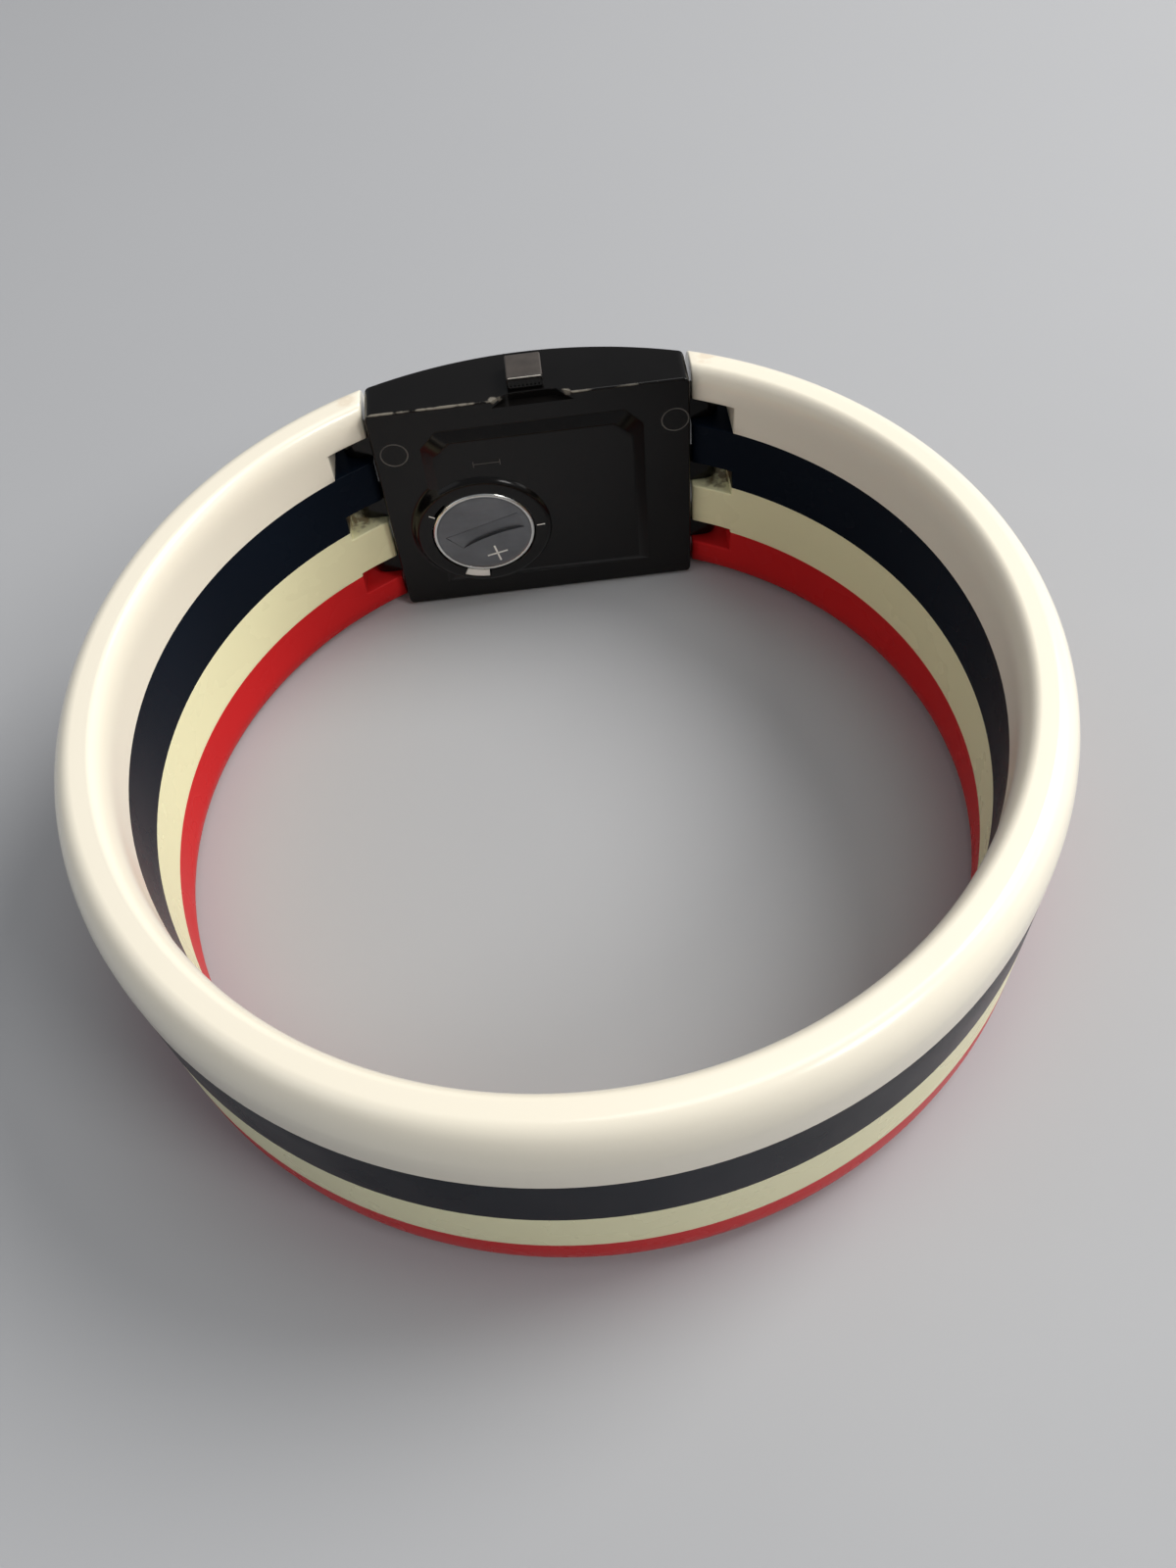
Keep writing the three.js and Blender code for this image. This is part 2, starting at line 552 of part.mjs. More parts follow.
// The hatch's bore, the undercut that its tabs turn in, the notches that let them in, and the cell's well.
function hatchCutter() {
  const seatRadius = HATCH_RADIUS + HATCH_CLEARANCE;
  const grooveTop = HATCH_FLOOR - HATCH_TAB_THICKNESS - HATCH_CLEARANCE;
  const tabClear = TAB_RADIUS + HATCH_CLEARANCE;
  let cutter = disc(seatRadius, HATCH_DEPTH - 1, HATCH_LEDGE, [0, 0], 40)
    .add(disc(tabClear, grooveTop, HATCH_LEDGE, [0, 0], 40))
    .add(disc(CELL_WELL_RADIUS, HATCH_LEDGE - 0.1, BACK_WALL + 1, [0, 0], 40));
  for (const angle of tabAngles(HATCH_ENTRY_ANGLE)) {
    const halfAngle = HATCH_TAB_HALF_ANGLE + 0.03;
    cutter = cutter.add(sector(tabClear, halfAngle, angle, HATCH_DEPTH - 1, HATCH_LEDGE - 0.1));
  }
  return cutter.translate([BATTERY_X, 0, BATTERY_Z]);
}

// The finger-nail recess in the back edge, under the crown.
function scoopCutter() {
  const floor = SCOOP_FLOOR_HALF_WIDTH;
  const edge = SCOOP_HALF_WIDTH;
  const outline = [[SCOOP_X - edge, -0.01], [SCOOP_X + edge, -0.01],
    [SCOOP_X + floor, SCOOP_DEPTH], [SCOOP_X - floor, SCOOP_DEPTH]];
  return bar(outline, CASE_WIDTH / 2 - SCOOP_REACH, CASE_WIDTH / 2 + 1);
}

function makeCase() {
  let body = makeShell();
  for (const side of [-1, 1]) {
    for (const z of lugHeights()) {
      body = body.add(makeLug(side, z));
    }
  }
  body = body.add(makePlatform()).add(makeBoss());
  body = body.subtract(box(-CAVITY_LENGTH / 2, CAVITY_LENGTH / 2, BACK_WALL, CASE_MID_DEPTH + 1,
    -CAVITY_WIDTH / 2, CAVITY_WIDTH / 2));
  for (const x of [-1, 1]) {
    for (const z of [-1, 1]) {
      const at = [x * (PLATE_LENGTH / 2 - CORNER_INSET), z * (PLATE_WIDTH / 2 - CORNER_INSET)];
      body = body.add(disc(POST_RADIUS, BACK_WALL / 2, PLATE_DEPTH - SEAT_GAP, at, 12));
    }
  }
  const seatRadius = FRONT_RADIUS - CRYSTAL_THICKNESS - SEAT_GAP;
  const seatLength = CRYSTAL_LENGTH / 2;
  const seat = [...frontArc(seatRadius, seatLength, 16), [-seatLength, CASE_MID_DEPTH + 1],
    [seatLength, CASE_MID_DEPTH + 1]];
  body = body.subtract(bar(seat, -CRYSTAL_WIDTH / 2, CRYSTAL_WIDTH / 2));
  body = body.subtract(hatchCutter()).subtract(scoopCutter());
  const outside = CASE_WIDTH / 2 + 1;
  body = body.subtract(rod(STEM_RADIUS + STEM_CLEARANCE, CAVITY_WIDTH / 2 - 1, outside, 0, STEM_DEPTH, 20));
  body = body.subtract(rod(CROWN_GASKET_RADIUS + STEM_CLEARANCE / 2, GASKET_Z,
    GASKET_Z + CROWN_GASKET_LENGTH,
    0, STEM_DEPTH, 20));
  for (const x of [-PIN_X, PIN_X]) {
    body = body.subtract(rod(PIN_RADIUS + PIN_CLEARANCE, -CASE_WIDTH, CASE_WIDTH, x, PIN_DEPTH, 16));
  }
  return body;
}

function makeHatch() {
  let hatch = disc(HATCH_RADIUS, HATCH_DEPTH, HATCH_FLOOR, [0, 0], 40);
  for (const angle of tabAngles(HATCH_ENTRY_ANGLE + HATCH_UNLOCK_ANGLE)) {
    hatch = hatch.add(sector(TAB_RADIUS, HATCH_TAB_HALF_ANGLE, angle, HATCH_FLOOR - HATCH_TAB_THICKNESS,
      HATCH_FLOOR));
  }
  const slot = box(-COIN_SLOT_LENGTH / 2, COIN_SLOT_LENGTH / 2, HATCH_DEPTH - 1,
    HATCH_DEPTH + COIN_SLOT_DEPTH,
    -COIN_SLOT_WIDTH / 2, COIN_SLOT_WIDTH / 2);
  return hatch.subtract(slot.rotate([0, -COIN_SLOT_ANGLE * THREE.MathUtils.RAD2DEG, 0]));
}

function makeHatchGasket() {
  const outer = HATCH_RADIUS - HATCH_CLEARANCE;
  const inner = CELL_WELL_RADIUS + CELL_CLEARANCE / 2;
  return ring(outer, inner, HATCH_LEDGE - GASKET_SECTION, HATCH_LEDGE, [0, 0], 32);
}

function makeCell() {
  const step = CELL_DEPTH + CELL_THICKNESS - 0.2;
  return disc(CELL_RADIUS, CELL_DEPTH, step, [0, 0], 32)
    .add(disc(CELL_RADIUS - 0.7, step - 0.1, CELL_DEPTH + CELL_THICKNESS, [0, 0], 32));
}

// A sprung strip across the cell's hole in the main plate, dipping to the cell's cap.
function makeContact() {
  const toEndWall = CASE_LENGTH / 2 - END_WALL + BATTERY_X;
  const end = Math.min(CELL_WELL_RADIUS + CONTACT_LANDING, toEndWall - SEAT_GAP);
  const bend = CELL_WELL_RADIUS - CONTACT_BEND_INSET;
  const rest = PLATE_TOP + SEAT_GAP;
  const dip = CELL_DEPTH + CELL_THICKNESS + SEAT_GAP;
  const flat = CONTACT_WIDTH;
  const under = [[-end, rest], [-bend, rest], [-flat, dip], [flat, dip], [bend, rest], [end, rest]];
  const over = under.map(([x, depth]) => [x, depth + CONTACT_THICKNESS]).reverse();
  return bar([...under, ...over], -CONTACT_WIDTH / 2, CONTACT_WIDTH / 2);
}

function makeCrystal() {
  const half = CRYSTAL_LENGTH / 2 - CRYSTAL_CLEARANCE;
  const width = CRYSTAL_WIDTH / 2 - CRYSTAL_CLEARANCE;
  const under = frontArc(FRONT_RADIUS - CRYSTAL_THICKNESS, half, 16).reverse();
  return bar([...frontArc(FRONT_RADIUS, half, 16), ...under], -width, width);
}

// ---- Dial and hands ----
function makeDial() {
  let dial = plate(roundedRectangle(PLATE_LENGTH, PLATE_WIDTH, CASE_CORNER), DIAL_DEPTH, DIAL_TOP);
  for (let i = 0; i < BATON_COUNT; i += 1) {
    const angle = (i * 2 * Math.PI) / BATON_COUNT;
    const reach = Math.min(PLATE_LENGTH / 2 / Math.abs(Math.cos(angle)),
      PLATE_WIDTH / 2 / Math.abs(Math.sin(angle)));
    const baton = box(reach - 2.6, reach - 1, DIAL_TOP - 0.1, DIAL_TOP + BATON_PROUD, -0.2, 0.2);
    dial = dial.add(baton.rotate([0, -angle * THREE.MathUtils.RAD2DEG, 0]));
  }
  return dial.subtract(disc(HOUR_TUBE_RADIUS + 2 * RUNNING_GAP, 0, CASE_MID_DEPTH, [0, 0], 20));
}

// A hand pointing along +X, with its hub fitted on a tube.
function makeHand(length, tail, halfWidth, tubeRadius, hubRadius, depth) {
  const outline = [[-tail, -halfWidth], [length * 0.9, -halfWidth * 0.7], [length, 0],
    [length * 0.9, halfWidth * 0.7], [-tail, halfWidth]];
  return plate(outline, depth, depth + HAND_THICKNESS)
    .add(disc(hubRadius, depth, depth + HAND_THICKNESS, [0, 0], 20))
    .subtract(disc(tubeRadius + SEAT_GAP, 0, CASE_MID_DEPTH, [0, 0], 20));
}

// ---- Movement ----
function makeMainPlate() {
  const reach = PLATE_WIDTH / 2 + 1;
  let base = plate(roundedRectangle(PLATE_LENGTH, PLATE_WIDTH, CASE_CORNER), PLATE_DEPTH, PLATE_TOP);
  base = base
    .subtract(disc(CELL_WELL_RADIUS, 0, CASE_MID_DEPTH, [BATTERY_X, BATTERY_Z], 40))
    .subtract(disc(CENTRE_TUBE_RADIUS + RUNNING_GAP, 0, CASE_MID_DEPTH, [0, 0], 20));
  for (const at of [INTERMEDIATE_AT, THIRD_AT, ROTOR_AT]) {
    base = base.subtract(disc(PIVOT_RADIUS + RUNNING_GAP, 0, CASE_MID_DEPTH, at, 12));
  }
  const stemHalf = STEM_RADIUS + 2 * STEM_CLEARANCE;
  const pinionHalf = SETTING_PINION_RADIUS + STEM_CLEARANCE;
  const pinionEnd = SETTING_PINION_START + SETTING_PINION_LENGTH + STEM_CLEARANCE;
  const squareHalf = STEM_SQUARE / 2 + STEM_CLEARANCE;
  base = base
    .subtract(box(-squareHalf, squareHalf, 0, CASE_MID_DEPTH, STEM_INNER_END - STEM_CLEARANCE, pinionEnd))
    .subtract(box(-pinionHalf, pinionHalf, 0, CASE_MID_DEPTH, SETTING_PINION_START - STEM_CLEARANCE,
      pinionEnd))
    .subtract(box(-stemHalf, stemHalf, 0, CASE_MID_DEPTH, pinionEnd - 0.01, reach));
  for (const x of [-1, 1]) {
    for (const z of [-1, 1]) {
      const at = [x * (PLATE_LENGTH / 2 - CORNER_INSET), z * (PLATE_WIDTH / 2 - CORNER_INSET)];
      base = base.add(disc(PAD_RADIUS, PLATE_TOP - 0.1, DIAL_DEPTH - SEAT_GAP, at, 12));
    }
  }
  for (const at of [MINUTE_AT, SETTING_AT]) {
    base = base.add(disc(WHEEL_POST_RADIUS, PLATE_TOP - 0.1, POST_TOP, at, 16));
  }
  return base.add(disc(LEVER_PIVOT_RADIUS, PLATE_TOP - 0.1, POST_TOP, [LEVER_PIVOT_X, LEVER_PIVOT_Z], 16));
}

// The bridge's outline is fitted round the wheels, and its legs stand on the main plate between them.
function makeTrainBridge() {
  const left = -BRIDGE_LEFT;
  const right = ROTOR_AT[0] + BRIDGE_RIGHT_MARGIN;
  const low = THIRD_AT[1] - BRIDGE_LOW_MARGIN;
  const high = ROTOR_AT[1] + BRIDGE_HIGH_MARGIN;
  const outline = [[left, low], [right, low], [right, high], [left, high]];
  let bridge = plate(outline, BRIDGE_DEPTH, BRIDGE_DEPTH + BRIDGE_THICKNESS);
  for (const at of [[0, 0], INTERMEDIATE_AT, THIRD_AT, ROTOR_AT]) {
    bridge = bridge.subtract(disc(PIVOT_RADIUS + RUNNING_GAP, 0, CASE_MID_DEPTH, at, 12));
  }
  const legInset = LEG_RADIUS + 0.05;
  for (const at of [[left + legInset, high - legInset], [right - legInset, low + legInset],
    [left + legInset, low + legInset]]) {
    bridge = bridge.add(disc(LEG_RADIUS, BRIDGE_DEPTH, PLATE_DEPTH - SEAT_GAP, at, 12));
  }
  return bridge;
}

// The board keeps to the head's lower right, clear of the train bridge and the resonator.
const BOARD_LEFT = ROTOR_AT[0] + 0.9;
const BOARD_TOP = 0.8;
const CAN_Z = -PLATE_WIDTH / 2 + CAN_RADIUS + 0.9;
const BOARD_BOTTOM = CAN_Z + CAN_RADIUS + 0.3;
const CHIP_AT = [(BOARD_LEFT + PLATE_LENGTH / 2) / 2, (BOARD_TOP + BOARD_BOTTOM) / 2];

function makeBoard() {
  const right = PLATE_LENGTH / 2;
  return box(BOARD_LEFT, right, BOARD_DEPTH, BOARD_DEPTH + BOARD_THICKNESS, BOARD_BOTTOM, BOARD_TOP);
}

function makeChip() {
  const half = CHIP_SIZE / 2;
  const start = BOARD_DEPTH + BOARD_THICKNESS + SEAT_GAP;
  return box(-half, half, start, start + CHIP_THICKNESS, -half, half);
}

function makeResonator() {
  const can = new THREE.CylinderGeometry(CAN_RADIUS, CAN_RADIUS, CAN_LENGTH, 16);
  return toSolid(can.rotateZ(Math.PI / 2));
}

function makeStator() {
  const left = ROTOR_AT[0] - 1.24;
  const right = COIL_END + CORE_END_LENGTH;
  const innerLeft = left + CORE_END_LENGTH;
  const low = ROTOR_AT[1] - 1.29;
  const shoulder = ROTOR_AT[1] + 1.31;
  const high = COIL_Z + CORE_END_WIDTH / 2;
  const outline = [[left, low], [right, low], [right, high], [COIL_END, high], [COIL_END, shoulder],
    [innerLeft, shoulder], [innerLeft, high], [left, high]];
  return plate(outline, STATOR_DEPTH, STATOR_DEPTH + STATOR_THICKNESS)
    .subtract(disc(ROTOR_RADIUS + ROTOR_AIR_GAP, 0, CASE_MID_DEPTH, ROTOR_AT, 24));
}

// A flat core with wide ends, which lie under the stator's two legs.
function makeCoilCore() {
  const left = ROTOR_AT[0] - 1.24;
  const right = COIL_END + CORE_END_LENGTH;
  const top = STATOR_DEPTH - SEAT_GAP;
  const wide = CORE_END_WIDTH / 2;
  const thin = CORE_WIDTH / 2;
  const start = left + CORE_END_LENGTH;
  const outline = [[left, -wide], [start, -wide], [start, -thin], [COIL_END, -thin], [COIL_END, -wide],
    [right, -wide], [right, wide], [COIL_END, wide], [COIL_END, thin], [start, thin], [start, wide],
      [left, wide]];
  return plate(outline, top - CORE_THICKNESS, top);
}

function makeCoilWinding() {
  const length = COIL_END - COIL_START - 2 * SEAT_GAP;
  const profile = [[COIL_BORE, 0], [COIL_RADIUS, 0], [COIL_RADIUS, length], [COIL_BORE, length],
    [COIL_BORE, 0]];
  const lathe = new THREE.LatheGeometry(profile.map(([r, y]) => new THREE.Vector2(r, y)), 20);
  lathe.rotateZ(-Math.PI / 2);
  return toSolid(lathe.translate(COIL_START + SEAT_GAP, 0, 0));
}

// ---- Crown and setting parts ----
function makeCrown() {
  const half = CROWN_SIZE / 2;
  const start = CASE_WIDTH / 2 + CROWN_GAP;
  const corner = 0.35;
  const outline = arcPoints(corner, [half - corner, half - corner], 0, Math.PI / 2, 3);
  const corners = [[1, 1], [-1, 1], [-1, -1], [1, -1]].flatMap(([sx, sy]) => {
    const turned = outline.map(([x, y]) => [sx * x, sy * y]);
    return sx * sy > 0 ? turned : turned.reverse();
  });
  return bar(corners, start, CASE_WIDTH / 2 + CROWN_PROUD)
    .translate([0, STEM_DEPTH, 0])
    .subtract(rod(STEM_RADIUS + SEAT_GAP, start - 1, start + 0.8, 0, STEM_DEPTH, 20));
}

function makeStem() {
  const square = STEM_SQUARE / 2;
  const outer = CASE_WIDTH / 2 + CROWN_GAP + 0.8 - SEAT_GAP;
  const grooveHalf = LEVER_POST_RADIUS + RUNNING_GAP;
  const groove = rod(STEM_RADIUS + 1, LEVER_POST_Z - grooveHalf, LEVER_POST_Z + grooveHalf, 0,
    STEM_DEPTH, 20)
    .subtract(rod(LEVER_GROOVE_RADIUS, 0, CASE_WIDTH, 0, STEM_DEPTH, 20));
  return rod(STEM_RADIUS, STEM_SQUARE_END, outer, 0, STEM_DEPTH, 20)
    .subtract(groove)
    .add(box(-square, square, STEM_DEPTH - square, STEM_DEPTH + square, STEM_INNER_END,
      STEM_SQUARE_END + 0.05));
}

function makeSettingPinion() {
  const leaves = 10;
  const size = SETTING_PINION_RADIUS / (leaves / 2 + 0.75);
  const start = SETTING_PINION_START;
  const square = STEM_SQUARE / 2 + RUNNING_GAP;
  return bar(gearOutline(leaves, size, 0, 0.25), start, start + SETTING_PINION_LENGTH)
    .subtract(box(-square, square, -square, square, 0, CASE_WIDTH))
    .translate([0, STEM_DEPTH, 0]);
}

// The lever turns on its post, and a nib on its arm lies in the stem's groove.
function makeSettingLever() {
  const pivot = [LEVER_PIVOT_X, LEVER_PIVOT_Z];
  const nib = [LEVER_POST_X, LEVER_POST_Z];
  const along = Math.atan2(nib[1] - pivot[1], nib[0] - pivot[0]);
  const wide = arcPoints(LEVER_HALF_WIDTH, pivot, along + Math.PI / 2, along + 1.5 * Math.PI, 8);
  const narrow = arcPoints(LEVER_HALF_WIDTH / 2, nib, along - Math.PI / 2, along + Math.PI / 2, 6);
  return plate([...wide, ...narrow], LEVER_DEPTH, LEVER_DEPTH + LEVER_THICKNESS)
    .add(disc(LEVER_POST_RADIUS, STEM_DEPTH - 0.1, LEVER_DEPTH + LEVER_THICKNESS / 2, nib, 10))
    .subtract(disc(LEVER_PIVOT_RADIUS + RUNNING_GAP, 0, CASE_MID_DEPTH, pivot, 16));
}

function makeCrownGasket() {
  return rod(CROWN_GASKET_RADIUS, GASKET_Z + SEAT_GAP, GASKET_Z + CROWN_GASKET_LENGTH - SEAT_GAP, 0,
    STEM_DEPTH, 20)
    .subtract(rod(STEM_RADIUS + RUNNING_GAP, 0, CASE_WIDTH, 0, STEM_DEPTH, 20));
}

// ---- Assembly ----
const FINISHES = {
  white: { color: 0xf2ecdc, roughness: 0.18, metalness: 0 },
  navy: { color: 0x0a1424, roughness: 0.16, metalness: 0 },
  cream: { color: 0xe6e2b4, roughness: 0.2, metalness: 0 },
  red: { color: 0xb01c20, roughness: 0.2, metalness: 0 },
  black: { color: 0x0b0b0d, roughness: 0.25, metalness: 0 },
  steel: { color: 0x9a9ea3, roughness: 0.35, metalness: 1 },
  brass: { color: 0xb08d4a, roughness: 0.35, metalness: 1 },
  iron: { color: 0x77797c, roughness: 0.5, metalness: 1 },
  rubber: { color: 0x141414, roughness: 0.8, metalness: 0 },
  glass: { color: 0xe8eef0, roughness: 0.05, metalness: 0 },
  dial: { color: 0xe9e6dc, roughness: 0.5, metalness: 0 },
  resin: { color: 0x1d2a20, roughness: 0.6, metalness: 0 },
  copper: { color: 0xa8582c, roughness: 0.4, metalness: 1 },
  crown: { color: 0x5a5049, roughness: 0.5, metalness: 0.3 },
};

function node(name, solid, finish, at = [0, 0], turn = 0) {
  const mesh = new THREE.Mesh(toGeometry(solid), new THREE.MeshStandardMaterial(FINISHES[finish]));
  mesh.name = name;
  mesh.position.set(at[0], 0, at[1]);
  mesh.rotation.y = turn;
  return mesh;
}

function makeBangleGroup() {
  const band = makeBangle();
  const creamStart = RED_HEIGHT;
  const navyStart = creamStart + CREAM_HEIGHT;
  const whiteStart = navyStart + NAVY_HEIGHT;
  const group = new THREE.Group();
  group.add(node('bangle_red', slice(band, -1, creamStart), 'red'));
  group.add(node('bangle_cream', slice(band, creamStart, navyStart), 'cream'));
  group.add(node('bangle_navy', slice(band, navyStart, whiteStart), 'navy'));
  group.add(node('bangle_white', slice(band, whiteStart, BAND_WIDTH + 1), 'white'));
  group.add(node('lug_pin_left', makeLugPin(-PIN_X), 'steel'));
  group.add(node('lug_pin_right', makeLugPin(PIN_X), 'steel'));
  return group;
}

function handTurns() {
  const turn = -2 * Math.PI;
  const minutes = TIME_SHOWN.minutes + TIME_SHOWN.seconds / 60;
  return {
    hour: (turn * (TIME_SHOWN.hours + minutes / 60)) / 12,
    minute: (turn * minutes) / 60,
    second: (turn * TIME_SHOWN.seconds) / 60,
  };
}

function makeHeadGroup() {
  const battery = [BATTERY_X, BATTERY_Z];
  const turns = handTurns();
  const hourHand = makeHand(HOUR_HAND_LENGTH, 1.2, 0.42, HOUR_TUBE_RADIUS, 0.9, HOUR_HAND_DEPTH);
  const minuteHand = makeHand(MINUTE_HAND_LENGTH, 1.2, 0.32, CENTRE_TUBE_RADIUS, 0.7, MINUTE_HAND_DEPTH);
  const secondHand = makeHand(SECOND_HAND_LENGTH, 2, 0.1, SECOND_ARBOR_RADIUS, 0.45, SECOND_HAND_DEPTH);
  const windingDepth = STATOR_DEPTH - SEAT_GAP - CORE_THICKNESS / 2;
  const canX = PLATE_LENGTH / 2 - CORNER_INSET - POST_RADIUS - CAN_POST_GAP - CAN_LENGTH / 2;
  const canDepth = BACK_WALL + CAN_RADIUS + 2 * SEAT_GAP;
  const group = new THREE.Group();
  group.position.set(0, BACK_Y, CASE_MID_Z);
  group.add(node('case_body', makeCase(), 'black'));
  group.add(node('battery_hatch', makeHatch(), 'steel', battery));
  group.add(node('hatch_gasket', makeHatchGasket(), 'rubber', battery));
  group.add(node('battery_cell', makeCell(), 'steel', battery));
  group.add(node('battery_contact', makeContact(), 'brass', battery));
  group.add(node('crystal', makeCrystal(), 'glass'));
  group.add(node('dial', makeDial(), 'dial'));
  group.add(node('hour_hand', hourHand, 'black', [0, 0], turns.hour));
  group.add(node('minute_hand', minuteHand, 'black', [0, 0], turns.minute));
  group.add(node('second_hand', secondHand, 'red', [0, 0], turns.second));
  group.add(node('main_plate', makeMainPlate(), 'brass'));
  group.add(node('train_bridge', makeTrainBridge(), 'brass'));
  group.add(node('circuit_board', makeBoard(), 'resin'));
  group.add(node('driver_chip', makeChip(), 'black', CHIP_AT));
  group.add(node('quartz_resonator', makeResonator().translate([0, canDepth, 0]), 'steel', [canX, CAN_Z]));
  group.add(node('stator', makeStator(), 'iron'));
  group.add(node('coil_core', makeCoilCore(), 'iron', [0, COIL_Z]));
  group.add(node('coil_winding', makeCoilWinding().translate([0, windingDepth, 0]), 'copper', [0, COIL_Z]));
  group.add(node('rotor', makeRotor(), 'iron', ROTOR_AT));
  group.add(node('intermediate_wheel', makeIntermediateWheel(), 'brass', INTERMEDIATE_AT));
  group.add(node('second_wheel', makeSecondWheel(), 'brass'));
  group.add(node('third_wheel', makeThirdWheel(), 'brass', THIRD_AT));
  group.add(node('centre_wheel', makeCentreWheel(), 'brass'));
  group.add(node('minute_wheel', makeMinuteWheel(), 'brass', MINUTE_AT));
  group.add(node('hour_wheel', makeHourWheel(), 'brass'));
  group.add(node('setting_wheel', makeSettingWheel(), 'steel', SETTING_AT));
  group.add(node('setting_pinion', makeSettingPinion(), 'steel'));
  group.add(node('setting_lever', makeSettingLever(), 'steel'));
  group.add(node('setting_stem', makeStem(), 'steel'));
  group.add(node('crown', makeCrown(), 'crown'));
  group.add(node('crown_gasket', makeCrownGasket(), 'rubber'));
  return group;
}

const watch = new THREE.Group();
watch.add(makeBangleGroup(), makeHeadGroup());

export default watch;
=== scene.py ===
"""The looks of a striped plastic bangle watch, standing on its edge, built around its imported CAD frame.

Shapes are made in millimetres and scaled to metres when a piece is finished. "Head" coordinates are
(x, depth, z) about the case: depth runs along +Y from the flat back plane of the case to the dial.
"""
import math

import bmesh
import bpy
from mathutils import Matrix, Vector


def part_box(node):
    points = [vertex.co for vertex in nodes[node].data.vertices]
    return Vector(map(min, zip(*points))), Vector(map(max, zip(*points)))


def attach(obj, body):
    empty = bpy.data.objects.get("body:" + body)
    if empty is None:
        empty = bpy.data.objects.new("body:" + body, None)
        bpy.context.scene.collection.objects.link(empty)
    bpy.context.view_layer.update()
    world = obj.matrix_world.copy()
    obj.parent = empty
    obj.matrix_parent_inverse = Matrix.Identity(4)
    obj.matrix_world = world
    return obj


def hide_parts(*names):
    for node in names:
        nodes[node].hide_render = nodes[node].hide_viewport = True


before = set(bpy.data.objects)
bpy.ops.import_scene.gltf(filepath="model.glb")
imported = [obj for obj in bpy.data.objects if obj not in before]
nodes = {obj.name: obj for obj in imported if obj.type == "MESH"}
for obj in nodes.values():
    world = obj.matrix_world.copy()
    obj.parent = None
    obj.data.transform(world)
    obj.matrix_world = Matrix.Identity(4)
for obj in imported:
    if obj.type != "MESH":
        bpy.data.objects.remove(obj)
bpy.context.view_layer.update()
MM = 0.001
TINY = 1e-6


def low(node):
    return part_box(node)[0] / MM


def high(node):
    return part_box(node)[1] / MM


def middle(node):
    return (low(node) + high(node)) / 2


# ---- Places and sizes in millimetres: what the frame gives, and what the looks add to it ----
RING_OUT = high("bangle_red").x
BAND_THICKNESS = 3.96
RING_IN = RING_OUT - BAND_THICKNESS
OUT_BULGE = 1.64
SPINE = RING_OUT - OUT_BULGE
RING_Y = low("bangle_red").y + RING_OUT
SEAMS = [0.0] + [high("bangle_" + c).z for c in ("red", "cream", "navy", "white")]
BAND_TOP = SEAMS[-1]
HALF_BAND = BAND_TOP / 2
CASE_MID_Z = middle("case_body").z
CASE_HALF_WIDTH = high("case_body").z - CASE_MID_Z
PIN_X = middle("lug_pin_right").x
PIN_Y = middle("lug_pin_right").y
LUG_REACH = high("case_body").x
LUG_RADIUS = LUG_REACH - PIN_X
PIN_FROM_CASE = 1.5
CASE_HALF = PIN_X - PIN_FROM_CASE
BOSS_PROUD = 0.95
BACK_Y = low("case_body").y + BOSS_PROUD
CASE_FRONT = high("case_body").y - BACK_Y
PIN_DEPTH = PIN_Y - BACK_Y
CELL = middle("battery_cell")
CELL_AT = (CELL.x, CELL.z - CASE_MID_Z)
TIP_GAP = 0.25
TIP_X = CASE_HALF + TIP_GAP
SLOT_CLEARANCE = 0.8
SLOT_X = LUG_REACH + SLOT_CLEARANCE
SLOT_HALF = 1.25
LUG_PITCH = 6.62
LUG_HALF_WIDTH = 1.1
SLOT_Z = [CASE_MID_Z + k * LUG_PITCH for k in (-1, 0, 1)]
HATCH_RADIUS = 4.38
HATCH_TOP = low("battery_hatch").y - BACK_Y
HATCH_FLOOR = high("battery_hatch").y - BACK_Y


# ---- Mesh helpers ----
def polar(centre, radius, angle):
    return centre[0] + radius * math.cos(angle), centre[1] + radius * math.sin(angle)


def circle(centre, radius, sides=32):
    return [polar(centre, radius, 2 * math.pi * k / sides) for k in range(sides)]


def new_object(name, mesh):
    obj = bpy.data.objects.new(name, mesh)
    bpy.context.scene.collection.objects.link(obj)
    return obj


def from_faces(name, verts, faces):
    mesh = bpy.data.meshes.new(name)
    mesh.from_pydata([tuple(v) for v in verts], [], faces)
    mesh.validate()
    bm = bmesh.new()
    bm.from_mesh(mesh)
    bmesh.ops.recalc_face_normals(bm, faces=bm.faces)
    bm.to_mesh(mesh)
    bm.free()
    return new_object(name, mesh)


def bake(obj):
    """Applies obj's modifiers to its mesh."""
    depsgraph = bpy.context.evaluated_depsgraph_get()
    mesh = bpy.data.meshes.new_from_object(obj.evaluated_get(depsgraph), depsgraph=depsgraph)
    obj.modifiers.clear()
    obj.data = mesh
    return obj


def bevel(obj, width, segments=3, angle=None):
    """Rounds the edges that carry a bevel weight, or those sharper than an angle in degrees."""
    modifier = obj.modifiers.new("bevel", "BEVEL")
    modifier.width = width
    modifier.segments = segments
    modifier.limit_method = "WEIGHT" if angle is None else "ANGLE"
    if angle is not None:
        modifier.angle_limit = math.radians(angle)
    modifier.miter_outer = "MITER_ARC"
    modifier.use_clamp_overlap = True
    return bake(obj)


def weigh_edges(obj, weight_of):
    """Sets each edge's bevel weight from weight_of(edge's two corners)."""
    mesh = obj.data
    layer = mesh.attributes.new("bevel_weight_edge", "FLOAT", "EDGE")
    corners = [v.co for v in mesh.vertices]
    layer.data.foreach_set("value", [weight_of(*(corners[i] for i in e.vertices)) for e in mesh.edges])


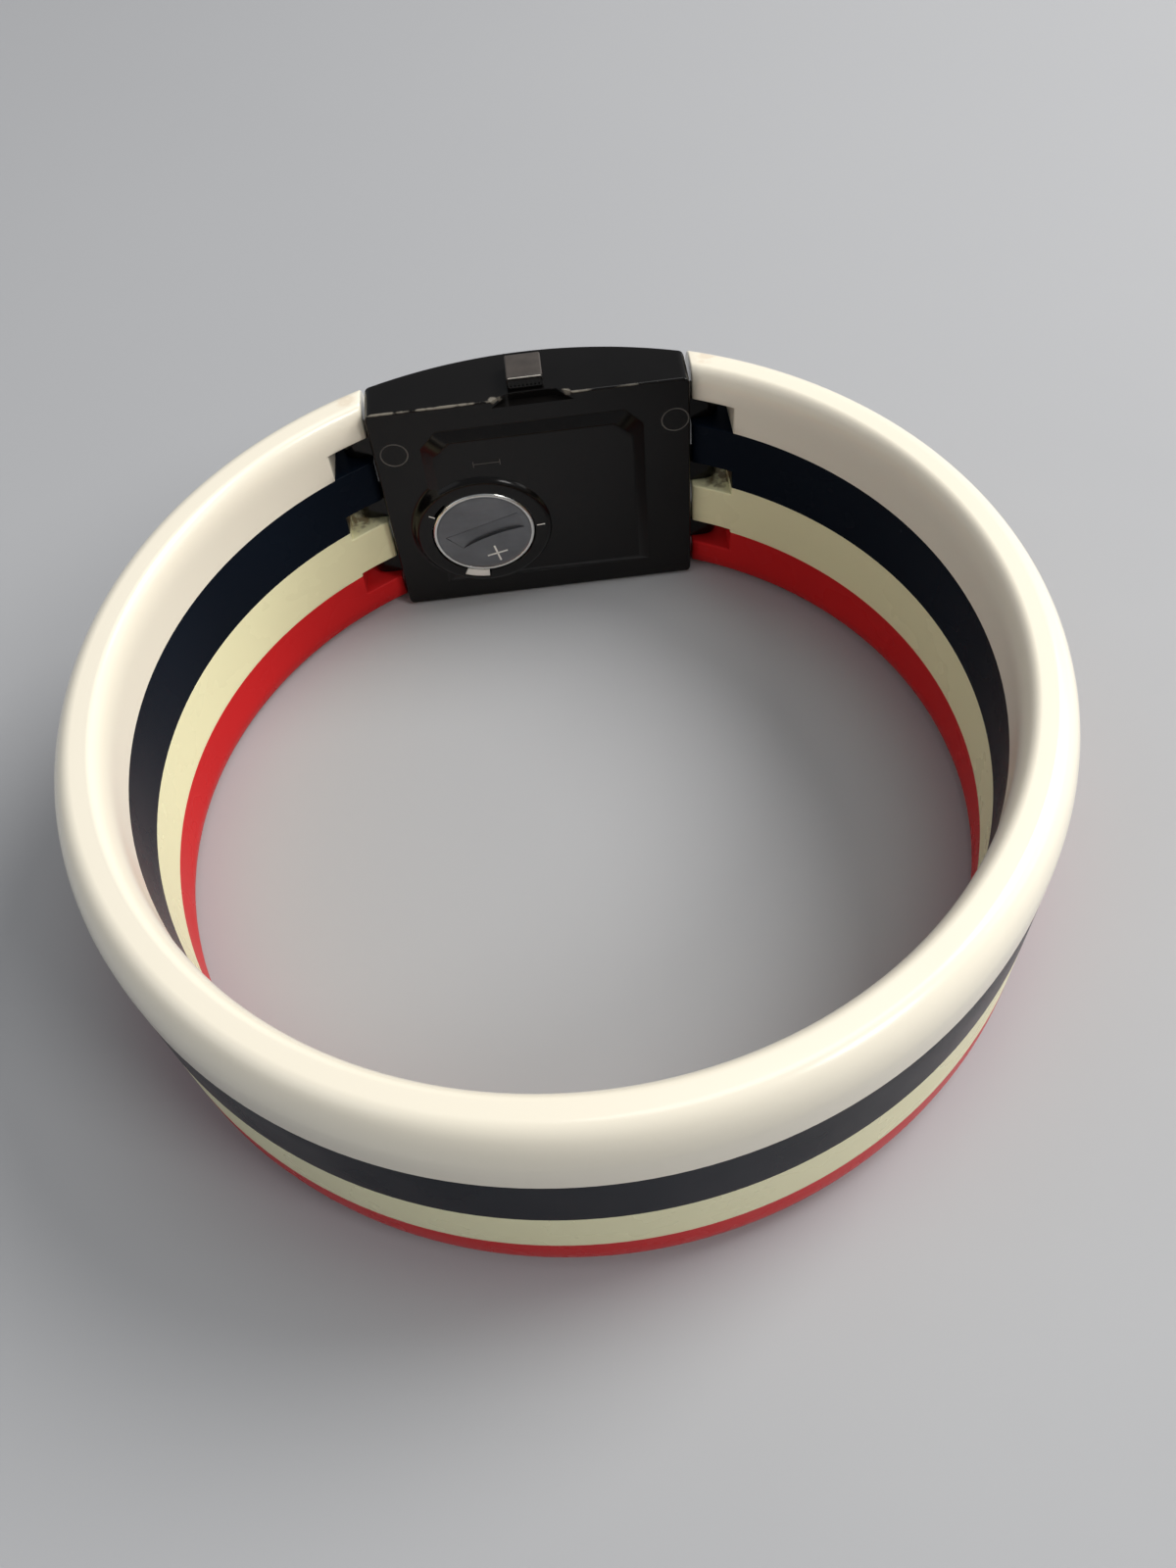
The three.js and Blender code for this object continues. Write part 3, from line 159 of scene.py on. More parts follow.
def combine(obj, others, operation="DIFFERENCE"):
    """Cuts the others from obj, or joins them to it, and removes them."""
    for other in others:
        modifier = obj.modifiers.new("cut", "BOOLEAN")
        modifier.operation = operation
        modifier.solver = "EXACT"
        modifier.object = other
    bake(obj)
    for other in others:
        bpy.data.objects.remove(other)
    return obj


def extrude(name, outline, start, end, axis):
    """A bar of an outline. Along "y" the outline is (x, z) points, and along "z" it is (x, y) points."""
    def place(a, b, t):
        return (a, t, b) if axis == "y" else (a, b, t)

    count = len(outline)
    verts = [place(a, b, t) for t in (start, end) for a, b in outline]
    faces = [list(range(count)), list(range(2 * count - 1, count - 1, -1))]
    faces += [(i, (i + 1) % count, count + (i + 1) % count, count + i) for i in range(count)]
    return from_faces(name, verts, faces)


def block(name, x0, x1, y0, y1, z0, z1):
    return extrude(name, [(x0, z0), (x1, z0), (x1, z1), (x0, z1)], y0, y1, "y")


def lathe(name, profile, centre, sides):
    """Turns a closed (radius, depth) profile about the depth axis through centre, an (x, z) place."""
    verts, faces, rows = [], [], []
    for c in range(sides):
        row = []
        for radius, depth in profile:
            if radius < TINY and c > 0:
                row.append(rows[0][len(row)])
                continue
            row.append(len(verts))
            x, z = polar(centre, radius, 2 * math.pi * c / sides)
            verts.append((x, depth, z))
        rows.append(row)
    count = len(profile)
    for here, there in zip(rows, rows[1:] + rows[:1]):
        for i in range(count):
            j = (i + 1) % count
            corners = list(dict.fromkeys((here[i], here[j], there[j], there[i])))
            if len(corners) > 2:
                faces.append(corners)
    return from_faces(name, verts, faces)


def cylinder(name, radius, depth0, depth1, centre, sides):
    return lathe(name, [(0, depth0), (radius, depth0), (radius, depth1), (0, depth1)], centre, sides)


def rounded_step(points, radius, steps):
    """Rounds each inner corner of an open (radius, depth) line."""
    out = [points[0]]
    for before, here, after in zip(points, points[1:], points[2:]):
        a, b, c = (Vector(p) for p in (before, here, after))
        reach = min(radius, (a - b).length * 0.45, (c - b).length * 0.45)
        p, q = b + (a - b).normalized() * reach, b + (c - b).normalized() * reach
        for k in range(steps + 1):
            t = k / steps
            out.append(tuple(p * (1 - t) ** 2 + b * 2 * t * (1 - t) + q * t * t))
    return out + [points[-1]]


def move(obj, x=0.0, y=0.0, z=0.0):
    obj.data.transform(Matrix.Translation((x, y, z)))
    return obj


def finish(obj, material, body="watch_body", replaces=(), angle=35, head=True):
    """Scales a piece to metres, shades it, gives it its material and ties it to a CAD body."""
    if head:
        move(obj, 0, BACK_Y, CASE_MID_Z)
    obj.data.transform(Matrix.Scale(MM, 4))
    obj.data.polygons.foreach_set("use_smooth", [True] * len(obj.data.polygons))
    obj.data.set_sharp_from_angle(angle=math.radians(angle))
    weighted = obj.modifiers.new("weighted", "WEIGHTED_NORMAL")
    weighted.keep_sharp = True
    bake(obj)
    obj.data.materials.clear()
    obj.data.materials.append(material)
    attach(obj, body)
    if replaces:
        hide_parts(*replaces)


# ---- Materials ----
class Nodes:
    """A small builder of one material's nodes."""

    def __init__(self, name):
        self.material = bpy.data.materials.new(name)
        self.material.use_nodes = True
        self.tree = self.material.node_tree
        self.shader = self.tree.nodes["Principled BSDF"]
        self.place = self.add("ShaderNodeTexCoord").outputs["Object"]

    def add(self, kind, **values):
        node = self.tree.nodes.new(kind)
        for key, value in values.items():
            setattr(node, key, value)
        return node

    def link(self, source, target):
        self.tree.links.new(source, target)

    def noise(self, scale, detail=3.0, stretch=(1, 1, 1), roughness=0.55):
        """Noise with features of about 1/scale metres, squeezed along each axis by stretch."""
        mapping = self.add("ShaderNodeMapping")
        mapping.inputs["Scale"].default_value = stretch
        self.link(self.place, mapping.inputs["Vector"])
        noise = self.add("ShaderNodeTexNoise")
        noise.inputs["Scale"].default_value = scale
        noise.inputs["Detail"].default_value = detail
        noise.inputs["Roughness"].default_value = roughness
        self.link(mapping.outputs["Vector"], noise.inputs["Vector"])
        return noise.outputs["Fac"]

    def remap(self, source, low_in, high_in, low_out, high_out):
        node = self.add("ShaderNodeMapRange")
        keys = ("From Min", "From Max", "To Min", "To Max")
        for key, value in zip(keys, (low_in, high_in, low_out, high_out)):
            node.inputs[key].default_value = value
        self.link(source, node.inputs["Value"])
        return node.outputs["Result"]

    def math(self, operation, a, b):
        node = self.add("ShaderNodeMath", operation=operation)
        for socket, value in zip(node.inputs, (a, b)):
            if isinstance(value, (int, float)):
                socket.default_value = value
            else:
                self.link(value, socket)
        return node.outputs["Value"]

    def mix(self, factor, a, b):
        node = self.add("ShaderNodeMix", data_type="RGBA")
        for key, value in (("Factor_Float", factor), ("A_Color", a), ("B_Color", b)):
            socket = next(s for s in node.inputs if s.identifier == key)
            if isinstance(value, (tuple, list)):
                socket.default_value = (*value, 1)
            elif isinstance(value, (int, float)):
                socket.default_value = value
            else:
                self.link(value, socket)
        return next(s for s in node.outputs if s.identifier == "Result_Color")

    def near(self, point, reach):
        """1 at a point (mm), falling to 0 at a distance of reach mm."""
        distance = self.add("ShaderNodeVectorMath", operation="DISTANCE")
        distance.inputs[1].default_value = Vector(point) * MM
        self.link(self.place, distance.inputs[0])
        return self.remap(distance.outputs["Value"], 0, reach * MM, 1, 0)

    def near_line(self, y, z, reach):
        """1 on the line along X through (y, z) in mm, falling to 0 at a distance of reach mm."""
        split = self.add("ShaderNodeSeparateXYZ")
        self.link(self.place, split.inputs[0])
        squares = []
        for axis, value in (("Y", y), ("Z", z)):
            offset = self.math("SUBTRACT", split.outputs[axis], value * MM)
            squares.append(self.math("MULTIPLY", offset, offset))
        distance = self.math("SQRT", self.math("ADD", *squares), 0.0)
        return self.remap(distance, 0, reach * MM, 1, 0)

    def emboss(self, height, strength, distance):
        """Relief from a height, with a distance in metres for a height of 1."""
        relief = self.add("ShaderNodeBump")
        relief.inputs["Strength"].default_value = strength
        relief.inputs["Distance"].default_value = distance
        self.link(height, relief.inputs["Height"])
        self.link(relief.outputs["Normal"], self.shader.inputs["Normal"])

    def set_sockets(self, sockets):
        for key, value in sockets.items():
            self.shader.inputs[key.replace("_", " ")].default_value = value


def shade(color, amount):
    return tuple(min(1.0, max(0.0, c * amount)) for c in color)


# The depth of all relief in metres, and the length of the painted highlight along the case's top edge in
# millimetres.
RELIEF = 0.00006
EDGE_HIGHLIGHT_LENGTH = 22.0


def surface(name, color, rough, variation, scale, metallic=0.0, bump=0.1, bump_scale=900,
            bump_stretch=(1, 1, 1), rough_scale=500, rough_stretch=(1, 1, 1), scratches=0.0, stains_and_highlights=(),
            edge_highlight=None, tint_detail=3.0, **sockets):
    """A procedural finish: colour, roughness and relief each vary through noise of their own.

    A stain or painted highlight is (place, reach, colour, strength); the edge highlight is the same, painted
    along an edge from its place.
    """
    n = Nodes(name)
    tint = n.remap(n.noise(scale, detail=tint_detail), 0.25, 0.75, 0, 1)
    base = n.mix(tint, shade(color, 1 - variation), shade(color, 1 + variation))
    grain = n.noise(1500, detail=4)
    # Stains, and painted highlights given the same way, tint the base in patches.
    for point, reach, patch_colour, strength in stains_and_highlights:
        spread = n.math("MULTIPLY", n.near(point, reach), n.remap(grain, 0.35, 0.6, 0.3, 1.6))
        base = n.mix(n.remap(spread, 0.25, 0.75, 0, strength), base, patch_colour)
    # Painted highlight: a pale, broken line along an edge, fading away from its start.
    if edge_highlight:
        start, reach, highlight_colour, strength = edge_highlight
        patches = n.remap(n.noise(600, detail=5), 0.42, 0.62, 0.2, 1.5)
        fading = n.remap(n.near(start, EDGE_HIGHLIGHT_LENGTH), 0.0, 0.6, 0.35, 1.2)
        line = n.near_line(start[1], start[2], reach)
        line = n.math("MULTIPLY", line, n.math("MULTIPLY", patches, fading))
        base = n.mix(n.remap(line, 0.2, 0.6, 0, strength), base, highlight_colour)
    n.link(base, n.shader.inputs["Base Color"])
    gloss = n.remap(n.noise(rough_scale, stretch=rough_stretch), 0.3, 0.7, *rough)
    n.link(gloss, n.shader.inputs["Roughness"])
    height = n.noise(bump_scale, detail=4, stretch=bump_stretch)
    if scratches:
        lines = n.noise(900, detail=6, stretch=(0.06, 0.06, 1.6), roughness=0.7)
        height = n.math("ADD", height, n.math("MULTIPLY", lines, scratches))
    n.emboss(height, bump, RELIEF)
    n.set_sockets({"Metallic": metallic, **sockets})
    return n.material


# A darker brown tint painted on the band around its middle slots.
SLOT_DARK_TINT = (0.16, 0.085, 0.03)
SLOT_DEEP = RING_Y + math.sqrt(SPINE**2 - SLOT_X**2)
PIN_RUST = (0.62, 0.42, 0.25)
slot_darkening = [((side * (SLOT_X - 0.6), SLOT_DEEP, CASE_MID_Z), 3.0, SLOT_DARK_TINT, 0.75) for side in (-1, 1)]
pin_stains = [((side * PIN_X, PIN_Y, BAND_TOP), 1.2, PIN_RUST, 0.25) for side in (-1, 1)]

POLISHED = {"Coat_Weight": 0.3, "Coat_Roughness": 0.1, "Specular_IOR_Level": 0.45}
MOULDED = {"Specular_IOR_Level": 0.3, "IOR": 1.42}
DEEP = {"Specular_IOR_Level": 0.07, "IOR": 1.33}
STRIPE = {"bump": 0.03, "bump_scale": 300, "rough_scale": 150, "tint_detail": 0.5}

# Each has a name, a colour, a range of roughness, how far the colour varies and the scale of that.
white = surface("white_gloss", (0.90, 0.835, 0.69), (0.2, 0.27), 0.012, 45,
                stains_and_highlights=pin_stains + slot_darkening, **POLISHED, **STRIPE)
cream = surface("cream_gloss", (0.90, 0.86, 0.54), (0.24, 0.32), 0.015, 45,
                stains_and_highlights=slot_darkening, **MOULDED, **STRIPE)
navy = surface("navy_gloss", (0.0035, 0.0065, 0.013), (0.2, 0.3), 0.2, 80,
               stains_and_highlights=slot_darkening, **DEEP, **STRIPE)
red = surface("red_gloss", (0.60, 0.018, 0.02), (0.22, 0.32), 0.04, 80, **DEEP, **STRIPE)
# The pale colour of worn plastic, also used for painted highlights on the case.
WEAR_AND_HIGHLIGHT = (0.42, 0.38, 0.31)
CASE_TOP = CASE_MID_Z + CASE_HALF_WIDTH
SCOOP_X = 0.4
# Pale patches at the scoop's edges: scratch wear together with painted highlights.
scoop_wear_and_highlights = [((SCOOP_X + dx, BACK_Y + 0.15, CASE_TOP - 0.1), 0.55, WEAR_AND_HIGHLIGHT, 0.42) for dx in (-3.1, -2.5, 2.7)]
black = surface("black_moulded", (0.0045, 0.004, 0.0038), (0.15, 0.22), 0.3, 120, bump=0.05,
                bump_scale=1400, scratches=0.3, stains_and_highlights=scoop_wear_and_highlights,
                # A painted highlight along the case's top back edge, where its bevel would catch the light.
                edge_highlight=((-11.0, BACK_Y, CASE_TOP), 0.2, WEAR_AND_HIGHLIGHT, 0.5),
                Specular_IOR_Level=0.2, Coat_Weight=0.1, Coat_Roughness=0.08)
black_worn = surface("black_worn", (0.075, 0.07, 0.062), (0.35, 0.6), 0.4, 700, bump=0.3, scratches=0.8)
hatch_steel = surface("hatch_brushed", (0.185, 0.19, 0.2), (0.3, 0.46), 0.12, 400, metallic=1.0,
                      bump=0.22, bump_scale=500, bump_stretch=(0.5, 0.5, 9),
                      rough_scale=350, rough_stretch=(0.5, 0.5, 8))
hatch_bright = surface("hatch_bright", (0.82, 0.81, 0.76), (0.28, 0.42), 0.1, 600, metallic=0.15,
                       bump=0.12, bump_scale=1200)
hatch_edge = surface("hatch_edge", (0.74, 0.74, 0.71), (0.2, 0.32), 0.12, 700, metallic=1.0,
                     bump=0.12, bump_scale=1200)
steel = surface("satin_steel", (0.5, 0.51, 0.53), (0.24, 0.4), 0.1, 500, metallic=1.0, bump=0.15,
                bump_stretch=(1, 1, 6), bump_scale=700)
brass = surface("satin_brass", (0.66, 0.46, 0.19), (0.24, 0.4), 0.12, 350, metallic=1.0, bump=0.15,
                bump_stretch=(1, 8, 1), bump_scale=700)
iron = surface("soft_iron", (0.3, 0.29, 0.28), (0.4, 0.6), 0.2, 500, metallic=1.0, bump=0.25)
copper = surface("wound_copper", (0.5, 0.17, 0.06), (0.3, 0.45), 0.15, 500, metallic=0.85, bump=0.6,
                 bump_scale=1100, bump_stretch=(9, 0.4, 0.4))
rubber = surface("black_rubber", (0.012, 0.012, 0.012), (0.6, 0.8), 0.3, 900, bump=0.3)
board = surface("solder_mask", (0.015, 0.09, 0.035), (0.3, 0.45), 0.2, 700, bump=0.2)
resin = surface("chip_resin", (0.012, 0.012, 0.012), (0.5, 0.7), 0.3, 1200, bump=0.35)
crown_grey = surface("crown_worn", (0.052, 0.043, 0.037), (0.45, 0.65), 0.25, 900, bump=0.35, scratches=0.5)
crown_edge_highlight = surface("crown_edge_highlight", (0.55, 0.52, 0.47), (0.35, 0.55), 0.3, 900, bump=0.3)
dial_white = surface("dial_lacquer", (0.80, 0.78, 0.70), (0.4, 0.55), 0.03, 300, bump=0.12, bump_scale=2500)
dial_ink = surface("dial_ink", (0.01, 0.014, 0.028), (0.3, 0.45), 0.25, 900, bump=0.15)
hand_black = surface("hand_lacquer", (0.01, 0.012, 0.018), (0.18, 0.3), 0.25, 900, bump=0.06)
hand_red = surface("hand_red", (0.56, 0.02, 0.018), (0.2, 0.32), 0.1, 900, bump=0.06)


def glass_material():
    n = Nodes("crystal_clear")
    n.link(n.mix(n.noise(200), (0.93, 0.96, 0.96), (0.98, 0.99, 0.99)), n.shader.inputs["Base Color"])
    smears = n.remap(n.noise(900, stretch=(0.1, 0.1, 1.5)), 0.3, 0.75, 0.01, 0.07)
    n.link(smears, n.shader.inputs["Roughness"])
    n.emboss(n.noise(1200), 0.03, 0.00005)
    n.set_sockets({"Transmission_Weight": 1.0, "IOR": 1.49})
    return n.material


crystal_clear = glass_material()

# ---- The bangle's four stripes ----
# A skin stands off the spine by its bulge. Towards each rim it turns in, over ROUND millimetres, to LAND
# times the bulge.
IN_BULGE = SPINE - RING_IN
OUT_LAND, OUT_ROUND = -0.2, 3.5
IN_LAND, IN_ROUND = 0.55, 2.2
# The heights of rows of points above a rim. The first of them stay however close they are, and the others
# are left out within a gap of the row before.
RIM_ROWS = (0.006, 0.02, 0.045, 0.085, 0.14, 0.22, 0.33, 0.48, 0.68, 0.95, 1.3, 1.75, 2.3)
FIXED_ROWS = RIM_ROWS[:9]
ROW_GAP = 0.34
ROW_SPACING = 0.9
SLOT_COLUMNS = 4
RING_COLUMNS = 84
BLEND_ANGLE = math.radians(14)
EDGE_ROUNDING, SEAM_WEIGHT = 0.17, 0.14


def sheet_radius(z, outer):
    """The radius of the band's skin at a height: upright, with a quarter ellipse at each rim."""
    bulge, land, run = (OUT_BULGE, OUT_LAND, OUT_ROUND) if outer else (-IN_BULGE, IN_LAND, IN_ROUND)
    from_rim = max(0.0, min(z, BAND_TOP - z))
    turn = max(0.0, 1 - from_rim / run)
    return SPINE + bulge * (land + (1 - land) * math.sqrt(1 - turn * turn))


def column_places():
    """Each column's (angle from +Y, share), from the right tip round to the left one.

    A share of 0 keeps the column at one x, as the slots' sides need, and a share of 1 makes it radial.
    """
    right = []
    for k in range(SLOT_COLUMNS + 1):
        x = TIP_X + (SLOT_X - TIP_X) * k / SLOT_COLUMNS
        right.append((math.asin(x / SPINE), 0.0))
    start = right[-1][0]
    for k in range(1, RING_COLUMNS + 1):
        angle = start + (math.pi - start) * k / RING_COLUMNS
        t = min(1.0, (angle - start) / BLEND_ANGLE)
        right.append((angle, t * t * (3 - 2 * t)))
    left = [(2 * math.pi - angle, share) for angle, share in reversed(right[:-1])]
    return right + left


COLUMNS = column_places()


def band_point(column, z, outer):
    """The place of a column's point at a height, on the outer or inner skin."""
    angle, share = COLUMNS[column]
    radius = sheet_radius(z, outer)
    side = 1 if angle <= math.pi else -1
    x = SPINE * abs(math.sin(angle))
    upright = math.asin(min(1.0, x / radius))
    if angle > math.pi:
        upright = 2 * math.pi - upright
    if share == 0:
        return (side * x, RING_Y + math.sqrt(radius**2 - x**2), z)
    upright += (angle - upright) * share
    return (radius * math.sin(upright), RING_Y + radius * math.cos(upright), z)


def stripe_levels(z0, z1, finger):
    """The heights of a stripe's rows: its edges, its finger's edges, the rim's rows, and some between."""
    fixed = {z0, z1, *finger}
    loose = set()
    if z0 == 0:
        fixed.update(FIXED_ROWS)
        loose.update(RIM_ROWS)
    if z1 == BAND_TOP:
        fixed.update(BAND_TOP - r for r in FIXED_ROWS)
        loose.update(BAND_TOP - r for r in RIM_ROWS)
    levels = sorted(fixed | loose)
    out = [levels[0]]
    for level in levels[1:]:
        base = out[-1]
        gap = level - base
        if gap < ROW_GAP and level not in fixed:
            continue
        steps = max(1, math.ceil(gap / ROW_SPACING))
        out += [base + gap * k / steps for k in range(1, steps + 1)]
    return out


def make_stripe(name, z0, z1, finger):
    """One stripe of the band as a closed shell, with its part of the fingers that run on past the slots."""
    levels = stripe_levels(z0, z1, finger)
    columns, rows = len(COLUMNS), len(levels)
    verts, ids, faces, sharp = [], {}, [], {}

    def vert(c, r, outer):
        key = (c, r, outer)
        if key not in ids:
            ids[key] = len(verts)
            verts.append(band_point(c, levels[r], outer))
        return ids[key]

    def solid(c, r):
        if not (0 <= c < columns - 1 and 0 <= r < rows - 1):
            return False
        if SLOT_COLUMNS <= c < columns - 1 - SLOT_COLUMNS:
            return True
        return finger[0] - TINY <= levels[r] and levels[r + 1] <= finger[1] + TINY

    def mark(a, b, weight):
        key = (min(a, b), max(a, b))
        sharp[key] = max(sharp.get(key, 0), weight)

    # The two skins, and the faces that join them along the stripe's upper and lower edges.
    for c in range(columns - 1):
        for r in range(rows - 1):
            if not solid(c, r):
                continue
            outside = [(c, r), (c + 1, r), (c + 1, r + 1), (c, r + 1)]
            inside = [(c, r), (c, r + 1), (c + 1, r + 1), (c + 1, r)]
            faces.append([vert(*at, True) for at in outside])
            faces.append([vert(*at, False) for at in inside])
            for edge, beyond in ((r, r - 1), (r + 1, r + 1)):
                if solid(c, beyond):
                    continue
                faces.append([vert(c, edge, True), vert(c, edge, False),
                              vert(c + 1, edge, False), vert(c + 1, edge, True)])
                if levels[edge] in (0.0, BAND_TOP):
                    continue
                in_slot = c < SLOT_COLUMNS or c >= columns - 1 - SLOT_COLUMNS
                for outer in (True, False):
                    mark(vert(c, edge, outer), vert(c + 1, edge, outer), 1.0 if in_slot else SEAM_WEIGHT)
    # The end faces at the tips and at the slots' ends.
    for c in range(columns):
        for toward, beyond in ((c - 1, c), (c, c - 1)):
            run = [r for r in range(rows - 1) if solid(toward, r) and not solid(beyond, r)]
            while run:
                length = 1
                while length < len(run) and run[length] == run[0] + length:
                    length += 1
                span = range(run[0], run[0] + length + 1)
                loop = [vert(c, r, True) for r in span] + [vert(c, r, False) for r in reversed(span)]
                faces.append(loop)
                tip = c in (0, columns - 1)
                for a, b in zip(loop, loop[1:] + loop[:1]):
                    crossing = abs(verts[a][2] - verts[b][2]) < TINY and abs(verts[a][1] - verts[b][1]) > 1
                    mark(a, b, 0.0 if crossing and not tip else 1.0)
                run = run[length:]
    obj = from_faces(name, verts, faces)
    layer = obj.data.attributes.new("bevel_weight_edge", "FLOAT", "EDGE")
    layer.data.foreach_set("value", [sharp.get(tuple(sorted(e.vertices)), 0.0) for e in obj.data.edges])
    return bevel(obj, EDGE_ROUNDING)


# The (lower, upper) heights of the finger that each stripe runs on into.
FINGERS = ((0.0, SLOT_Z[0] - SLOT_HALF), (SLOT_Z[0] + SLOT_HALF, SLOT_Z[1] - SLOT_HALF),
           (SLOT_Z[1] + SLOT_HALF, SEAMS[3]), (SLOT_Z[2] + SLOT_HALF, BAND_TOP))
STRIPES = (("red", red), ("cream", cream), ("navy", navy), ("white", white))
RECESS_RADIUS, RECESS_DEPTH = 0.6, 0.5


def cut_pin_recesses(stripe):
    """Shows the ends of the two pins, a little below the rim."""
    rings = [circle((side * PIN_X, PIN_Y), RECESS_RADIUS) for side in (-1, 1)]
    combine(stripe, [extrude("recess", ring, -1.0, RECESS_DEPTH, "z") for ring in rings])


for (colour, material), z0, z1, finger in zip(STRIPES, SEAMS, SEAMS[1:], FINGERS):
    stripe = make_stripe("stripe_" + colour, z0, z1, finger)
    if colour == "red":
        cut_pin_recesses(stripe)
    finish(stripe, material, replaces=["bangle_" + colour], head=False)


# ---- The case ----
END_DEPTH = 3.5
FRONT_SAG = CASE_FRONT - END_DEPTH
FRONT_RADIUS = (CASE_HALF**2 + FRONT_SAG**2) / (2 * FRONT_SAG)
BACK_WALL = 0.9
END_WALL, SIDE_WALL = 2.4, 2.05
CAVITY = (CASE_HALF - END_WALL, CASE_HALF_WIDTH - SIDE_WALL)
CRYSTAL_LEDGE = 0.8
CRYSTAL_HALF = (CAVITY[0] + CRYSTAL_LEDGE, CAVITY[1] + CRYSTAL_LEDGE)
CRYSTAL_THICKNESS = 0.8
CASE_ROUNDING, RIDGE_WEIGHT = 0.8, 0.3


def front_arc(radius, half, steps):
    """Points of an arc about the centre of the case's bowed front, from x = half to x = -half."""
    reach = math.asin(half / radius)
    centre = CASE_FRONT - FRONT_RADIUS
    angles = [reach - 2 * reach * k / steps for k in range(steps + 1)]
    return [(radius * math.sin(a), centre + radius * math.cos(a)) for a in angles]


def make_case_shell():
    outline = [(-CASE_HALF, 0), (CASE_HALF, 0)] + front_arc(FRONT_RADIUS, CASE_HALF, 40)
    shell = extrude("watch_case", outline, -CASE_HALF_WIDTH, CASE_HALF_WIDTH, "z")

    def weight(a, b):
        upright = abs(a.x - b.x) < 1e-4 and abs(a.z - b.z) < 1e-4
        at_end = abs(abs(a.x) - CASE_HALF) < 1e-4 and abs(abs(b.x) - CASE_HALF) < 1e-4
        if upright and at_end:
            return 1.0
        on_side = abs(abs(a.z) - CASE_HALF_WIDTH) < 1e-4
        across = abs(a.z - b.z) > 1
        return RIDGE_WEIGHT if (at_end if across else on_side) else 0.0

    weigh_edges(shell, weight)
    return bevel(shell, CASE_ROUNDING, 5)


def make_lug(side, z):
    root = CASE_HALF - 0.9
    nose = [polar((PIN_X, PIN_DEPTH), LUG_RADIUS, math.pi * (k / 16 - 0.5)) for k in range(17)]
    outline = [(root, PIN_DEPTH - LUG_RADIUS)] + nose + [(root, PIN_DEPTH + LUG_RADIUS)]
    outline = [(side * x, d) for x, d in outline]
    lug = extrude("lug", outline, z - LUG_HALF_WIDTH, z + LUG_HALF_WIDTH, "z")
    return bevel(lug, 0.14, 2, angle=40)


PLATFORM_HALF = (9.25, 8.5)
PLATFORM_RISE, PLATFORM_BEVEL, PLATFORM_CHAMFER = 0.5, 1.1, 1.5


def platform_outline(inset):
    x, z, cut = PLATFORM_HALF[0] - inset, PLATFORM_HALF[1] - inset, PLATFORM_CHAMFER
    return [(-x, -z), (x, -z), (x, z - cut), (x - cut, z), (cut - x, z), (-x, z - cut)]


def make_platform():
    """A plateau with two cut corners, whose flank runs down to the case back, with its edges rolled."""
    rings = [(0, 0.4), (0, 0.02), (0.12, -0.05), (PLATFORM_BEVEL - 0.16, -PLATFORM_RISE + 0.05),
             (PLATFORM_BEVEL - 0.06, -PLATFORM_RISE + 0.012), (PLATFORM_BEVEL + 0.1, -PLATFORM_RISE)]
    verts, faces = [], []
    for inset, depth in rings:
        verts += [(x, depth, z) for x, z in platform_outline(inset)]
    for k in range(len(rings) - 1):
        faces += [(6 * k + i, 6 * k + (i + 1) % 6, 6 * k + 6 + (i + 1) % 6, 6 * k + 6 + i) for i in range(6)]
    faces += [list(range(6)), list(range(len(verts) - 6, len(verts)))[::-1]]
    return from_faces("platform", verts, faces)


BOSS_TOP, BOSS_BASE = HATCH_RADIUS + 0.92, HATCH_RADIUS + 2.02


def make_boss():
    line = [(BOSS_BASE + 0.35, 0.03), (BOSS_BASE - 0.25, -0.12), (BOSS_TOP + 0.35, -BOSS_PROUD + 0.06),
            (BOSS_TOP - 0.35, -BOSS_PROUD), (HATCH_RADIUS, -BOSS_PROUD)]
    profile = [(0, 0.4), (BOSS_BASE + 0.35, 0.4)] + rounded_step(line, 0.6, 6) + [(0, -BOSS_PROUD)]
    return lathe("boss", profile, CELL_AT, 128)


SEAT_RADIUS = HATCH_RADIUS + 0.07
TAB_REACH, TAB_HALF_ANGLE, TAB_THICKNESS = 0.3, 0.16, 0.2
ENTRY_ANGLES = [-1.75 + k * 2 * math.pi / 3 for k in range(3)]
ENTRY_HALF_ANGLE = 0.19
WELL_RADIUS = 3.6
NOTCH_ANGLE = math.radians(-104)
NOTCH_HALF_ANGLE = 0.225
NOTCH_REACH = 5.25
OUTSIDE = -3  # where the cutters begin, clear of the case


def ring_sector(inner, outer, half):
    """The outline of a piece of a ring about the cell, at the notch."""
    shares = (-1, -0.5, 0, 0.5, 1)
    return [polar(CELL_AT, r, NOTCH_ANGLE + s * half)
            for r, order in ((inner, shares), (outer, shares[::-1])) for s in order]


def fan(angle, half, reach):
    """The outline of a slice about the cell, from inside the seat out to a radius."""
    return [polar(CELL_AT, 2, angle)] + [polar(CELL_AT, reach, angle + half * k / 4) for k in range(-4, 5)]


